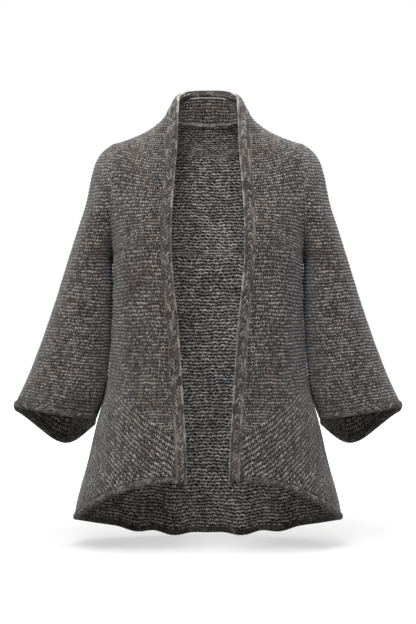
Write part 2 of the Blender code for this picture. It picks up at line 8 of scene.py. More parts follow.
import math
from functools import partial

import bmesh
import bpy
import numpy as np
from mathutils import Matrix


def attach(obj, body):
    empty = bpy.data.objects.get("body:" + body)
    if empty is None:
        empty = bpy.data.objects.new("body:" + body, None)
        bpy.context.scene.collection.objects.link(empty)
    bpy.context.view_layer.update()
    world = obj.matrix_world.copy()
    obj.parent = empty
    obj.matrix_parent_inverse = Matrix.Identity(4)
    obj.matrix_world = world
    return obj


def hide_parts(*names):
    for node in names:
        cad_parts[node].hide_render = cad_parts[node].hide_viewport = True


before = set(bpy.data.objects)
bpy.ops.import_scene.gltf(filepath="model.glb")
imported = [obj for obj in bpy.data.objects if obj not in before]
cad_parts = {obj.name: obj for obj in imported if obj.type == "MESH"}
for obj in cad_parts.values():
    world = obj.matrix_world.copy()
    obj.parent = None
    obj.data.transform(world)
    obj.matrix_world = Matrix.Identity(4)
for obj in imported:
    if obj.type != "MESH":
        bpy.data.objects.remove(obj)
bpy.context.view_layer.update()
bpy.ops.object.select_all(action="DESELECT")

MM = 0.001

WALL = 5.0 * MM                 # the chunky knit, between the two faces of a sheet
SEAM_GAP = 0.3 * MM             # between two pieces that are sewn together
BAND_GAP = 0.5 * MM             # between the bent front band and the cloth beside it
FRONT_BAND_DEPTH = 10.0 * MM    # of the rounded band, through the cloth
EDGING_WIDTH = 13.0 * MM        # of the rolled edging at the hem and the cuffs
EDGING_DEPTH = 11.0 * MM
ARMHOLE_X = 0.175               # the plane of the dropped armhole
SHOULDER_TIP_Z = -0.0512        # its top
UNDERARM_Z = -0.262             # its bottom
BAND_END_Z = -0.6645            # the rounded lower end of the front band
HEM_BAND_START = 0.006          # of the front's width, so that it clears the front band
CORNER_TOP_Z = -0.478           # where the slanted seam of a corner panel leaves the side seam
CORNER_FRONT_Z = -0.580         # and where it reaches the front band

FINE_STEPS = 2000               # of a curve that is looked up by height
SMALL_STEP = 1e-3               # of a share or a number, for the direction of a face there


def table(names, rows):
    """The columns of a table by name."""
    return dict(zip(names.split(), np.array(rows, float).T))


# The middle line of the front band, from the nape round the neck and down the left front.
# out, back and down point from it to the cloth that it edges.
BAND = table("x y z out back down width", (
    (0.0000, 0.0630, 0.0500, 0.00, 0.12, 1.00, 0.0140),
    (0.0280, 0.0590, 0.0488, 0.10, 0.10, 1.00, 0.0145),
    (0.0465, 0.0430, 0.0430, 0.32, 0.05, 0.95, 0.0160),
    (0.0560, 0.0200, 0.0355, 0.42, 0.00, 0.90, 0.0175),
    (0.0600, -0.0060, 0.0265, 0.56, 0.00, 0.82, 0.0190),
    (0.0625, -0.0280, 0.0115, 0.84, 0.02, 0.54, 0.0200),
    (0.0640, -0.0500, -0.0110, 0.96, 0.04, 0.27, 0.0200),
    (0.0645, -0.0690, -0.0380, 0.99, 0.05, 0.13, 0.0200),
    (0.0655, -0.0880, -0.0700, 1.00, 0.06, 0.05, 0.0200),
    (0.0690, -0.1120, -0.1200, 1.00, 0.10, 0.02, 0.0200),
    (0.0730, -0.1300, -0.1800, 1.00, 0.12, 0.00, 0.0200),
    (0.0745, -0.1370, -0.2450, 1.00, 0.15, 0.00, 0.0200),
    (0.0700, -0.1400, -0.3100, 1.00, 0.15, 0.00, 0.0200),
    (0.0635, -0.1410, -0.3700, 1.00, 0.15, 0.00, 0.0200),
    (0.0590, -0.1420, -0.4300, 1.00, 0.15, 0.00, 0.0200),
    (0.0545, -0.1440, -0.5000, 1.00, 0.15, 0.00, 0.0200),
    (0.0500, -0.1480, -0.5700, 1.00, 0.15, 0.00, 0.0200),
    (0.0470, -0.1520, -0.6300, 1.00, 0.15, 0.00, 0.0200),
    (0.0465, -0.1540, -0.6660, 1.00, 0.15, 0.00, 0.0200),
))

# The rounding of the band's lower ends: the band's size at a distance from its end.
BAND_ROUNDING = table("from_end size", (
    (0.0040, 1.00),
    (0.0012, 0.80),
    (0.0000, 0.45),
))

# The seam over the shoulder, from the front band at the neck to the top of the armhole.
SHOULDER = table("z x", (
    (0.0260, 0.0655),
    (0.0140, 0.0696),
    (0.0050, 0.0730),
    (-0.0015, 0.0775),
    (-0.0070, 0.0840),
    (-0.0185, 0.0995),
    (-0.0315, 0.1210),
    (-0.0430, 0.1490),
    (-0.0512, 0.1750),
))

# The side of the body below the underarm.
SIDE = table("z x", (
    (-0.262, 0.1750),
    (-0.285, 0.1745),
    (-0.310, 0.1743),
    (-0.367, 0.1760),
    (-0.424, 0.1794),
    (-0.481, 0.1850),
    (-0.527, 0.1945),
    (-0.555, 0.2018),
    (-0.585, 0.2098),
    (-0.620, 0.2175),
    (-0.656, 0.2265),
    (-0.691, 0.2365),
    (-0.721, 0.2435),
    (-0.735, 0.2455),
))

# Rows of the left front. edge_z is the height of the front band's middle and seam_z that of the
# shoulder, armhole or side seam. arrive is the turn to the back, in degrees, with which a row
# comes to that seam, fall its slope there, and leave_reach and arrive_reach say how far the row
# keeps each end's direction, as shares of its length.
FRONT_ROWS = table("edge_z seam_z arrive fall leave_reach arrive_reach", (
    (0.0265, 0.0190, 90, 0.00, 0.12, 0.33),
    (0.0180, 0.0120, 90, 0.00, 0.14, 0.34),
    (0.0075, 0.0040, 90, 0.00, 0.16, 0.36),
    (-0.0040, -0.0045, 89, 0.00, 0.20, 0.38),
    (-0.0160, -0.0120, 88, 0.00, 0.26, 0.40),
    (-0.0280, -0.0205, 86, 0.00, 0.32, 0.40),
    (-0.0440, -0.0315, 84, 0.00, 0.38, 0.40),
    (-0.0590, -0.0430, 80, 0.00, 0.42, 0.40),
    (-0.0720, -0.0512, 74, 0.00, 0.42, 0.36),
    (-0.0950, -0.0750, 52, 0.00, 0.42, 0.32),
    (-0.1200, -0.1050, 38, 0.00, 0.40, 0.32),
    (-0.1520, -0.1450, 40, 0.00, 0.40, 0.34),
    (-0.1850, -0.1900, 62, 0.00, 0.42, 0.36),
    (-0.2150, -0.2300, 78, 0.00, 0.44, 0.40),
    (-0.2450, -0.2620, 88, 0.00, 0.52, 0.50),
    (-0.3100, -0.3200, 90, 0.00, 0.50, 0.51),
    (-0.4000, -0.4000, 90, 0.00, 0.47, 0.49),
    (-0.4800, -0.4780, 90, 0.00, 0.45, 0.47),
    (-0.5800, -0.6150, 90, 0.06, 0.43, 0.45),
    (-0.6500, -0.7330, 90, 0.12, 0.42, 0.44),
))

# Rows of the back, from its middle to the left. depth is how far back its middle lies.
BACK_ROWS = table("middle_z depth seam_z arrive fall leave_reach arrive_reach", (
    (-0.0070, 0.0720, -0.0015, 90, 0.00, 0.36, 0.40),
    (-0.0180, 0.0790, -0.0110, 89, 0.00, 0.38, 0.40),
    (-0.0330, 0.0870, -0.0240, 87, 0.00, 0.42, 0.42),
    (-0.0480, 0.0930, -0.0380, 84, 0.00, 0.44, 0.42),
    (-0.0630, 0.0980, -0.0512, 76, 0.00, 0.48, 0.34),
    (-0.0880, 0.1040, -0.0750, 54, 0.00, 0.50, 0.25),
    (-0.1150, 0.1085, -0.1050, 42, 0.00, 0.52, 0.25),
    (-0.1500, 0.1110, -0.1450, 42, 0.00, 0.54, 0.24),
    (-0.1880, 0.1120, -0.1900, 56, 0.00, 0.56, 0.23),
    (-0.2250, 0.1120, -0.2300, 74, 0.00, 0.58, 0.30),
    (-0.2560, 0.1115, -0.2620, 89, 0.00, 0.60, 0.50),
    (-0.3200, 0.1110, -0.3200, 90, 0.00, 0.58, 0.52),
    (-0.4000, 0.1120, -0.4000, 90, 0.00, 0.54, 0.51),
    (-0.4800, 0.1155, -0.4780, 90, 0.00, 0.50, 0.49),
    (-0.5600, 0.1220, -0.5550, 90, 0.00, 0.47, 0.47),
    (-0.6600, 0.1350, -0.6380, 90, 0.06, 0.45, 0.45),
    (-0.7755, 0.1500, -0.7330, 90, 0.12, 0.44, 0.44),
))

# Soft flutes of the back hem: where each lies beside the middle, how wide and how deep it is at
# the hem, how much lower it hangs and how high it runs. A positive depth stands out.
FLUTES = table("x half_width depth hang height", (
    (0.030, 0.026, 0.007, 0.000, 0.16),
    (0.066, 0.024, -0.006, 0.007, 0.14),
    (0.102, 0.020, 0.006, 0.000, 0.12),
    (0.138, 0.022, -0.011, 0.006, 0.20),
    (0.182, 0.022, 0.006, 0.000, 0.13),
))
FLUTE_FADE = 1.5                # the power with which a flute fades towards its top

# Level sections of the left sleeve. Each is an oval from in_x to out_x: above the underarm the
# armhole cuts it, so in_x lies inside the body there. mid_y is its middle, front and back are
# its half depths, and drop is how far its back sinks below its front.
SLEEVE = table("in_z in_x out_z out_x mid_y front back drop", (
    (-0.0512, 0.0300, -0.0512, 0.1750, 0.000, 0.055, 0.055, 0.000),
    (-0.0650, 0.0480, -0.0650, 0.1935, 0.000, 0.065, 0.065, 0.000),
    (-0.0805, 0.0680, -0.0805, 0.2045, 0.000, 0.072, 0.072, 0.000),
    (-0.1070, 0.0950, -0.1070, 0.2138, 0.000, 0.079, 0.079, 0.000),
    (-0.1365, 0.1180, -0.1365, 0.2195, 0.000, 0.083, 0.083, 0.000),
    (-0.1660, 0.1370, -0.1660, 0.2260, 0.000, 0.084, 0.084, 0.000),
    (-0.1955, 0.1520, -0.1955, 0.2355, 0.000, 0.083, 0.083, 0.000),
    (-0.2220, 0.1620, -0.2220, 0.2440, 0.000, 0.082, 0.082, 0.000),
    (-0.2450, 0.1695, -0.2450, 0.2515, 0.000, 0.081, 0.081, 0.000),
    (-0.2620, 0.1750, -0.2620, 0.2570, 0.000, 0.080, 0.080, 0.000),
    (-0.3100, 0.1752, -0.3060, 0.2700, -0.006, 0.076, 0.076, 0.003),
    (-0.3800, 0.1770, -0.3710, 0.2905, -0.014, 0.070, 0.070, 0.011),
    (-0.4500, 0.1818, -0.4370, 0.3135, -0.022, 0.064, 0.064, 0.028),
    (-0.5100, 0.1912, -0.4910, 0.3350, -0.030, 0.059, 0.060, 0.047),
    (-0.5450, 0.2052, -0.5210, 0.3490, -0.035, 0.056, 0.057, 0.060),
))
SLEEVE_FULLNESS = 2.25          # 2 is an ellipse, and more is squarer
DROP_MIDDLE = -0.14             # where across a section the back hangs lowest, -1 is the inside
DROP_ROUNDING = 0.22            # of half a section's width that the lowest place is rounded over


def smooth(knots, values, at):
    """Values at places between knots, on cubics through the knots' values with no kink."""
    knots, values = np.asarray(knots, float), np.asarray(values, float)
    at = np.clip(np.asarray(at, float), knots[0], knots[-1])
    width = np.diff(knots)
    rise = np.diff(values) / width
    slope = np.empty_like(values)
    share = width[:-1] / (width[:-1] + width[1:])
    slope[1:-1] = rise[:-1] * (1 - share) + rise[1:] * share
    slope[0] = 1.5 * rise[0] - 0.5 * slope[1]
    slope[-1] = 1.5 * rise[-1] - 0.5 * slope[-2]
    k = np.clip(np.searchsorted(knots, at, side="right") - 1, 0, len(width) - 1)
    u = (at - knots[k]) / width[k]
    return (
        values[k] * (1 + 2 * u) * (1 - u) ** 2
        + slope[k] * width[k] * u * (1 - u) ** 2
        + values[k + 1] * u * u * (3 - 2 * u)
        - slope[k + 1] * width[k] * u * u * (1 - u)
    )


def unit(vectors):
    return vectors / np.linalg.norm(vectors, axis=-1, keepdims=True)


def points(x, y, z):
    return np.stack(np.broadcast_arrays(x, y, z), axis=-1).astype(float)


def lengths(path):
    """The distance along a path of points, from its start."""
    return np.concatenate([[0.0], np.cumsum(np.linalg.norm(np.diff(path, axis=0), axis=1))])


BAND_DISTANCE = lengths(points(BAND["x"], BAND["y"], BAND["z"]))


def band_middle(distance):
    """The front band's middle, this far along from the nape; less than 0 is the right half."""
    return points(*(band_column(name, distance) for name in "xyz"))


def band_column(name, distance):
    """A column of the band's table at a distance, mirrored where it points sideways."""
    both_ways = np.concatenate([-BAND_DISTANCE[:0:-1], BAND_DISTANCE])
    sign = -1 if name in ("x", "out") else 1
    values = np.concatenate([sign * BAND[name][:0:-1], BAND[name]])
    return smooth(both_ways, values, distance)


def band_frame(distance):
    """The band's direction along, to the cloth and outward at a distance."""
    along = unit(band_middle(distance + MM) - band_middle(distance - MM))
    towards = [band_column(name, distance) for name in ("out", "back", "down")]
    to_cloth = points(towards[0], towards[1], -towards[2])
    to_cloth = unit(to_cloth - along * (to_cloth * along).sum(-1, keepdims=True))
    return along, to_cloth, np.cross(along, to_cloth)


def band_distance(z):
    """How far down the left half of the band its middle is at this height."""
    along = np.linspace(0.0, BAND_DISTANCE[-1], FINE_STEPS)
    return np.interp(-np.asarray(z, float), -band_middle(along)[:, 2], along)


def cloth_edge(distance):
    """The outer face of the cloth where it meets the front band."""
    _, to_cloth, outward = band_frame(distance)
    reach = band_column("width", distance)[..., None] / 2 + BAND_GAP
    return band_middle(distance) + to_cloth * reach + outward * WALL / 2


def sleeve_at(in_z):
    """The sleeve's section whose inner side is at this height, as a dict of columns."""
    return {
        name: smooth(-SLEEVE["in_z"], SLEEVE[name], -np.asarray(in_z, float)) for name in SLEEVE
    }


def armhole_turn(section):
    """The angle round a section, from its outermost point, at which the armhole cuts it."""
    middle = (section["in_x"] + section["out_x"]) / 2
    half = (section["out_x"] - section["in_x"]) / 2
    share = np.clip((ARMHOLE_X - middle) / half, -1.0, 1.0)
    cosine = np.sign(share) * np.abs(share) ** (SLEEVE_FULLNESS / 2)
    return np.where(section["in_z"] <= UNDERARM_Z, math.pi, np.arccos(cosine))


def oval(section, turn):
    """Points of a section, turned from its outermost point; a positive turn is to the front."""
    power = 2 / SLEEVE_FULLNESS
    across = np.sign(np.cos(turn)) * np.abs(np.cos(turn)) ** power
    deep = np.abs(np.sin(turn)) ** power
    x = (section["in_x"] + section["out_x"]) / 2 + across * (section["out_x"] - section["in_x"]) / 2
    z = (section["in_z"] + section["out_z"]) / 2 + across * (section["out_z"] - section["in_z"]) / 2
    to_front = turn > 0
    y = section["mid_y"] + np.where(to_front, -section["front"], section["back"]) * deep
    beside = across - DROP_MIDDLE
    away = np.sqrt(beside**2 + DROP_ROUNDING**2) - DROP_ROUNDING
    share = 1 - away / (1 + np.sign(beside) * -DROP_MIDDLE)
    drop = np.where(to_front, 0.0, section["drop"]) * np.clip(share, 0.0, 1.0)
    return points(x, y, z - drop)


def seam_at(z, face):
    """The outer seam of a front (face -1) or the back (face 1): shoulder, armhole, then side."""
    z = np.asarray(z, float)
    section = sleeve_at(z)
    armhole = oval(section, -face * armhole_turn(section))
    in_armhole = (z < SHOULDER_TIP_Z) & (z > UNDERARM_Z)
    shoulder_x = smooth(-SHOULDER["z"], SHOULDER["x"], -z)
    side_x = smooth(-SIDE["z"], SIDE["x"], -z)
    x = np.where(z >= SHOULDER_TIP_Z, shoulder_x, side_x)
    x = np.where(in_armhole, ARMHOLE_X - SEAM_GAP / 2, x)
    y = np.where(in_armhole, armhole[..., 1], 0.0)
    return points(x, y + face * SEAM_GAP / 2, z)


def row_numbers(start, end):
    """Numbers from 0 to 1 for rows, as far apart as the cloth is long there."""
    steps = (np.diff(lengths(start)) + np.diff(lengths(end))) / 2
    along = np.concatenate([[0.0], np.cumsum(steps)])
    return along / along[-1]


def row_curve(start, leave, end, arrive, leave_reach, arrive_reach, share):
    """Points of one smooth curve a row, from start to end."""
    chord = np.linalg.norm(end - start, axis=-1, keepdims=True)
    first = start + leave * chord * leave_reach[..., None]
    last = end - arrive * chord * arrive_reach[..., None]
    share = share[..., None]
    return (
        start * (1 - share) ** 3
        + first * 3 * share * (1 - share) ** 2
        + last * 3 * share**2 * (1 - share)
        + end * share**3
    )


FRONT_NUMBERS = row_numbers(
    cloth_edge(band_distance(FRONT_ROWS["edge_z"])), seam_at(FRONT_ROWS["seam_z"], -1)
)
BACK_NUMBERS = row_numbers(
    points(0.0, BACK_ROWS["depth"], BACK_ROWS["middle_z"]), seam_at(BACK_ROWS["seam_z"], 1)
)


def number_at(z, row_numbers_of, heights):
    """The row number at which a column of heights passes this height."""
    fine = np.linspace(0.0, 1.0, FINE_STEPS)
    return np.interp(-np.asarray(z, float), -smooth(row_numbers_of, heights, fine), fine)


def front_at(share, number):
    """The outer face of the left front: share 0 is at the band and 1 at the outer seam."""
    row = {name: smooth(FRONT_NUMBERS, values, number) for name, values in FRONT_ROWS.items()}
    distance = band_distance(row["edge_z"])
    along, to_cloth, _ = band_frame(distance)
    level = unit(to_cloth - along * (to_cloth[..., 2] / along[..., 2])[..., None])
    turn = np.radians(row["arrive"])
    arrive = unit(points(np.cos(turn), np.sin(turn), -row["fall"]))
    start, end = cloth_edge(distance), seam_at(row["seam_z"], -1)
    return row_curve(start, level, end, arrive, row["leave_reach"], row["arrive_reach"], share)


def flutes(x, z, hem_z):
    """How far the back's soft flutes move it out and down at a place."""
    out, hang = np.zeros((2, *np.broadcast(x, z).shape))
    for middle, half_width, depth, lower, height in zip(*FLUTES.values()):
        wave = np.exp(-(((np.abs(x) - middle) / half_width) ** 2))
        fade = np.clip(1 - (z - hem_z) / height, 0.0, 1.0) ** FLUTE_FADE
        out += depth * wave * fade
        hang += lower * wave * fade
    return out, hang


def back_at(share, number):
    """The outer face of the back's left half: share 0 is its middle and 1 the outer seam."""
    row = {name: smooth(BACK_NUMBERS, values, number) for name, values in BACK_ROWS.items()}
    start = points(0.0, row["depth"], row["middle_z"])
    leave = points(np.ones_like(share), 0.0, 0.0)
    turn = np.radians(row["arrive"])
    arrive = unit(points(np.cos(turn), -np.sin(turn), row["fall"]))
    end = seam_at(row["seam_z"], 1)
    face = row_curve(start, leave, end, arrive, row["leave_reach"], row["arrive_reach"], share)
    to_side = np.clip(face[..., 1] / row["depth"], 0.0, 1.0)
    out, hang = flutes(face[..., 0], face[..., 2], BACK_ROWS["middle_z"][-1])
    face[..., 1] += out * to_side
    face[..., 2] -= hang * to_side
    return face


SLEEVE_TOP_Z = -0.0516          # just under the top of the armhole
SLEEVE_END_Z = SLEEVE["in_z"][-1]


def sleeve_face(share, number):
    """The outer face of the left sleeve: share runs from its front edge round to its back."""
    section = sleeve_at(SLEEVE_TOP_Z + number * (SLEEVE_END_Z - SLEEVE_TOP_Z))
    face = oval(section, armhole_turn(section) * (1 - 2 * share))
    face[..., 0] = np.maximum(face[..., 0], ARMHOLE_X + SEAM_GAP / 2)
    return face


def normals_of(face_at, share, number):
    """Outward directions of a face, from small steps both ways along it."""
    right, left = np.minimum(share + SMALL_STEP, 1.0), np.maximum(share - SMALL_STEP, 0.0)
    below, above = np.minimum(number + SMALL_STEP, 1.0), np.maximum(number - SMALL_STEP, 0.0)
    across = face_at(right, number) - face_at(left, number)
    down = face_at(share, below) - face_at(share, above)
    outward = unit(np.cross(down, across))
    # The back's rows run the other way round the body than those of the fronts and sleeves.
    return -outward if face_at is back_at else outward


# ---------------------------------------------------------------- sheets, stitch by stitch

STITCH = 8.0 * MM               # the width of one stitch along its row
ROW = 6.3 * MM                  # the height of one row
RIDGE = 1.5 * MM                # from the bottom of a gap between rows to the top of a row
WAVE = 0.08                     # of a row that a stitch's two halves lie above and below it
BEAD = 0.28                     # of a ridge's height that it sinks between two beads
PROUD = 0.55                    # of a ridge that lies below the solid's face
DRIFT, SWAY, JITTER = 0.20, 0.11, 0.07  # of a row, that hand-guided rows wander
SEAM_LAP = 0.25 * MM            # of one sheet's edge past the seam's middle, which closes it
CLOSE = 0.05 * MM               # within this, a point lies on the seam's edge
CURVE_STEPS = 160               # of one row, when its length is measured
ROW_STEPS = 400                 # down a sheet, when its rows are counted
COUNTED_AT = np.linspace(0.04, 0.9, 15)     # the shares of its width at which they are counted
LINE_CLEAR = 0.4                # of a lattice line's spacing, kept free at a sheet's two ends


class Rows:
    """The knit rows of a sheet: how many lie above each number, evened out over its width."""

    def __init__(self, face_at, count=None):
        self.numbers = np.linspace(0.0, 1.0, ROW_STEPS + 1)
        face = face_at(*np.meshgrid(COUNTED_AT, self.numbers))
        steps = np.linalg.norm(np.diff(face, axis=0), axis=-1).mean(axis=1)
        along = np.concatenate([[0.0], np.cumsum(steps)])
        self.count = round(along[-1] / ROW) if count is None else count
        self.above = along / along[-1] * self.count

    def at(self, number):
        return np.interp(number, self.numbers, self.above)

    def lines(self, start, end, per_row):
        """Numbers from start to end, a share of a row apart, on the rows' own lines."""
        first, last = (float(self.at(number)) * per_row for number in (start, end))
        inside = np.arange(math.ceil(first + LINE_CLEAR), math.floor(last - LINE_CLEAR) + 1)
        inside = inside / per_row
        return np.concatenate([[start], np.interp(inside, self.above, self.numbers), [end]])


class Lattice:
    """The places of a sheet's points: rows of one number each, columns a share of a stitch apart.

    lows and highs are the shares at which each row starts and stops. A column that falls
    outside a row is moved to that row's end, so the sheet's edge stays smooth.
    """

    def __init__(self, face_at, numbers, lows, highs, origin, per_stitch):
        numbers = np.asarray(numbers, float)
        lows, highs = (np.broadcast_to(side, numbers.shape) for side in (lows, highs))
        fine = np.linspace(0.0, 1.0, CURVE_STEPS + 1)
        shares = lows[:, None] + (highs - lows)[:, None] * fine
        curve = face_at(shares, np.broadcast_to(numbers[:, None], shares.shape))
        steps = np.linalg.norm(np.diff(curve, axis=1), axis=-1)
        along = np.concatenate([np.zeros((len(numbers), 1)), np.cumsum(steps, axis=1)], axis=1)
        for i in range(len(numbers)):
            along[i] -= np.interp(np.clip(origin, lows[i], highs[i]), shares[i], along[i])
        pitch = STITCH / per_stitch
        self.first = np.round(along[:, 0] / pitch).astype(int)
        self.last = np.round(along[:, -1] / pitch).astype(int)
        start, stop = self.first.min(), self.last.max()
        self.first -= start
        self.last -= start
        columns = np.arange(stop - start + 1)
        place = np.clip(columns[None, :], self.first[:, None], self.last[:, None])
        distance = (place + start) * pitch
        distance = np.where(place == self.first[:, None], along[:, :1], distance)
        distance = np.where(place == self.last[:, None], along[:, -1:], distance)
        self.share = np.array([
            np.interp(distance[i], along[i], shares[i]) for i in range(len(numbers))
        ])
        self.number = np.broadcast_to(numbers[:, None], self.share.shape)
        self.stitch = distance / STITCH
        self.index = np.arange(len(numbers))[:, None] * len(columns) + place
        self.to_edge = np.minimum(distance - along[:, :1], along[:, -1:] - distance)

    def faces(self):
        a, b = self.index[:-1, :-1].ravel(), self.index[:-1, 1:].ravel()
        c, d = self.index[1:, 1:].ravel(), self.index[1:, :-1].ravel()
        turned = (np.arange(len(a)) % 2).astype(bool)
        one = np.where(turned[:, None], np.stack([a, b, d], 1), np.stack([a, b, c], 1))
        two = np.where(turned[:, None], np.stack([b, c, d], 1), np.stack([a, c, d], 1))
        return proper(np.concatenate([one, two]))

    def sides(self):
        """The edges of the lattice: first row, last row, row starts and row ends."""
        rows = range(len(self.index))
        top = np.arange(self.first[0], self.last[0] + 1)
        bottom = np.arange(self.first[-1], self.last[-1] + 1)
        starts = np.array([self.index[i, self.first[i]] for i in rows])
        ends = np.array([self.index[i, self.last[i]] for i in rows])
        return (
            (self.index[0, top], self.share[0, top]),
            (self.index[-1, bottom], self.share[-1, bottom]),
            (starts, self.number[:, 0]),
            (ends, self.number[:, 0]),
        )


def proper(triangles):
    """The triangles whose three corners differ."""
    a, b, c = triangles.T
    return triangles[(a != b) & (b != c) & (a != c)]


def bridge(near, far):
    """Triangles between two lines of points that run side by side."""
    (a, at_a), (b, at_b) = near, far
    i, j, made = 0, 0, []
    while i < len(a) - 1 or j < len(b) - 1:
        if j == len(b) - 1 or (i < len(a) - 1 and at_a[i + 1] <= at_b[j + 1]):
            made.append((a[i], a[i + 1], b[j]))
            i += 1
        else:
            made.append((a[i], b[j + 1], b[j]))
            j += 1
    return np.array(made)


def wandered(stitch, row):
    """A row's number with the slow drift and small jitter of hand-guided knitting, in rows.

    The waves' numbers are radians a stitch and a row.
    """
    drift = DRIFT * np.sin(0.37 * stitch + 0.21 * row + 0.6) * np.sin(0.16 * row - 0.05 * stitch)
    sway = SWAY * np.sin(0.93 * stitch - 0.47 * row + 2.0)
    return row + drift + sway + JITTER * np.sin(2.1 * stitch + 0.83 * row)


def relief(stitch, row, wave_depth):
    """The height of the knit over its gaps, from 0 to 1: wavy ridges with two beads a stitch."""
    wave = wave_depth * np.cos(2 * np.pi * stitch)
    ridge = 0.5 + 0.5 * np.cos(2 * np.pi * (row + wave))
    bead = 0.5 - 0.5 * np.cos(4 * np.pi * stitch)
    return ridge * (1 - BEAD + BEAD * bead)


def new_object(name, grids, finishes, slot, *nodes):
    """A smooth-shaded piece from its points, triangles, uvs and each triangle's own material.

    It stands for these CAD nodes. slot is not used.
    """
    vertices, triangles, uvs, slots = grids
    used, place = np.unique(triangles, return_inverse=True)
    triangles = place.reshape(-1, 3)
    mesh = bpy.data.meshes.new(name)
    mesh.vertices.add(len(used))
    mesh.vertices.foreach_set("co", vertices[used].astype(np.float32).ravel())
    mesh.loops.add(3 * len(triangles))
    mesh.loops.foreach_set("vertex_index", triangles.astype(np.int32).ravel())
    mesh.polygons.add(len(triangles))
    mesh.polygons.foreach_set("loop_start", np.arange(0, 3 * len(triangles), 3, dtype=np.int32))
    mesh.polygons.foreach_set("material_index", slots.astype(np.int32))
    mesh.update(calc_edges=True)
    layer = mesh.uv_layers.new(name="Stitches")
    layer.data.foreach_set("uv", uvs[used][triangles.ravel()].astype(np.float32).ravel())
    shape = bmesh.new()
    shape.from_mesh(mesh)
    bmesh.ops.recalc_face_normals(shape, faces=shape.faces)
    shape.to_mesh(mesh)
    shape.free()
    for finish in finishes:
        mesh.materials.append(finish)
    mesh.shade_smooth()
    made = bpy.data.objects.new(name, mesh)
    bpy.context.scene.collection.objects.link(made)
    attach(made, "root")
    if nodes:
        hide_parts(*nodes)
    return made


def off_seams(face, side):
    """Points of an inner face, kept clear of the seams of a front (-1), back (1) or sleeve (0)."""
    if side == 0:
        face[..., 0] = np.maximum(face[..., 0], ARMHOLE_X + SEAM_GAP / 2)
        return face
    face[..., 1] = side * np.maximum(side * face[..., 1], SEAM_GAP / 2)
    limit = np.where(face[..., 2] > UNDERARM_Z, ARMHOLE_X - SEAM_GAP / 2, np.inf)
    face[..., 0] = np.clip(face[..., 0], -limit, limit)
    return face


def sheet_mesh(face_at, outward_at, lattices, rows, side, closed_from=None, seam=None):
    """Points, triangles, uvs and faces' slots of a sheet from the lattices of its two faces.

    The outer lattice comes first. side is that of off_seams. From the number closed_from on, the
    sheet is a tube. seam is the axis and place of the seams at which it laps its neighbours.
    """
    points_of, uvs, triangles, slots, edges = [], [], [], [], []
    offset = 0
    for inner, lattice in enumerate(lattices):
        face = face_at(lattice.share, lattice.number)
        outward = outward_at(lattice.share, lattice.number)
        row = wandered(lattice.stitch, rows.at(lattice.number))
        raised = relief(lattice.stitch, row, 0.0 if inner else WAVE)
        raised = 0.5 + (raised - 0.5) * np.clip(lattice.to_edge / (STITCH / 2), 0.0, 1.0)
        if inner:
            face = face - outward * (WALL - RIDGE / 2 + RIDGE * raised)[..., None]
            face = off_seams(face, side)
        else:
            face = face - outward * (RIDGE * (PROUD - raised))[..., None]
        if seam:
            axis, place = seam
            near = face[..., axis] < place + SEAM_GAP / 2 + CLOSE
            face[..., axis] = np.where(near, place - SEAM_LAP, face[..., axis])
        index = lattice.index
        if closed_from is not None:
            for i in np.flatnonzero(lattice.number[:, 0] >= closed_from):
                index[i][index[i] == index[i, lattice.last[i]]] = index[i, lattice.first[i]]
        points_of.append(face.reshape(-1, 3))
        uvs.append(np.stack([lattice.stitch, row], axis=-1).reshape(-1, 2))
        found = lattice.faces() + offset
        triangles.append(found)
        slots.append(np.full(len(found), inner))
        edges.append([(line + offset, at) for line, at in lattice.sides()])
        offset += index.size
    for k, (near, far) in enumerate(zip(*edges)):
        if k > 1 and closed_from is not None:
            near, far = (
                tuple(part[: np.searchsorted(at, closed_from) + 1] for part in (line, at))
                for line, at in (near, far)
            )
        if max(len(near[0]), len(far[0])) > 1:
            found = proper(bridge(near, far))
            triangles.append(found)
            slots.append(np.zeros(len(found), int))
    return [np.concatenate(grids) for grids in (points_of, triangles, uvs, slots)]


def mirrored(grid):
    """Points or directions of the left half, as the right half's."""
    return grid * np.array([-1.0, 1.0, 1.0])


def sheet_pair(name, grids, finishes):
    """The left piece and its mirror image, from points, triangles, uvs and slots."""
    vertices, *others = grids
    return [
        new_object(f"{name}_knit_{side}", (place, *others), finishes, "knit", f"{name}_{side}")
        for side, place in (("left", vertices), ("right", mirrored(vertices)))
    ]


# ---------------------------------------------------------------- materials

PATCH_SIZE = 50.0 * MM          # of the soft patches of other hues
PATCH_SHIFT = (3.1, 1.7, 5.3)   # between one hue's patches and the next one's
PATCH_RIM = (0.52, 0.72)        # of the cloud's tone, where a patch starts and where it is full
KNIT_BUMP = 0.9 * MM            # that the shader raises the knit between the mesh's own points
YARN_BUMP = 0.5 * MM
WARP_SCALE = 0.9                # cells a stitch of the noise that bends the rows
ROW_WARP = 0.5                  # of a row, that it bends them
FIBRES = (3.6, 5.0, 1.0)        # cells of light and dark yarn, a stitch along and a row down
FIBRE_TONE, FIBRE_RISE = 1.30, 0.6      # what they add to the knit's tone and to its relief
FLECK_SHADES = (0.90, 1.0)      # the lightest half stitches, which are pale flecks
FLECK_TONE = 0.20
KNIT_PATCHES, YARN_PATCHES = 0.45, 0.4  # how strongly the patches colour the knit and the yarn
PLIES = (2.2, 9.0, 1.0)         # cells of light and dark yarn, a loop along and a turn round
PLY_TONE, LOOP_TONE = 0.8, 0.30     # of the yarn's tone from its strands and from each loop
CROWN_PAINTED_LIGHT, CROWN_BASE = 0.14, 0.10     # painted light and shade: more on a loop's crown than at its sides
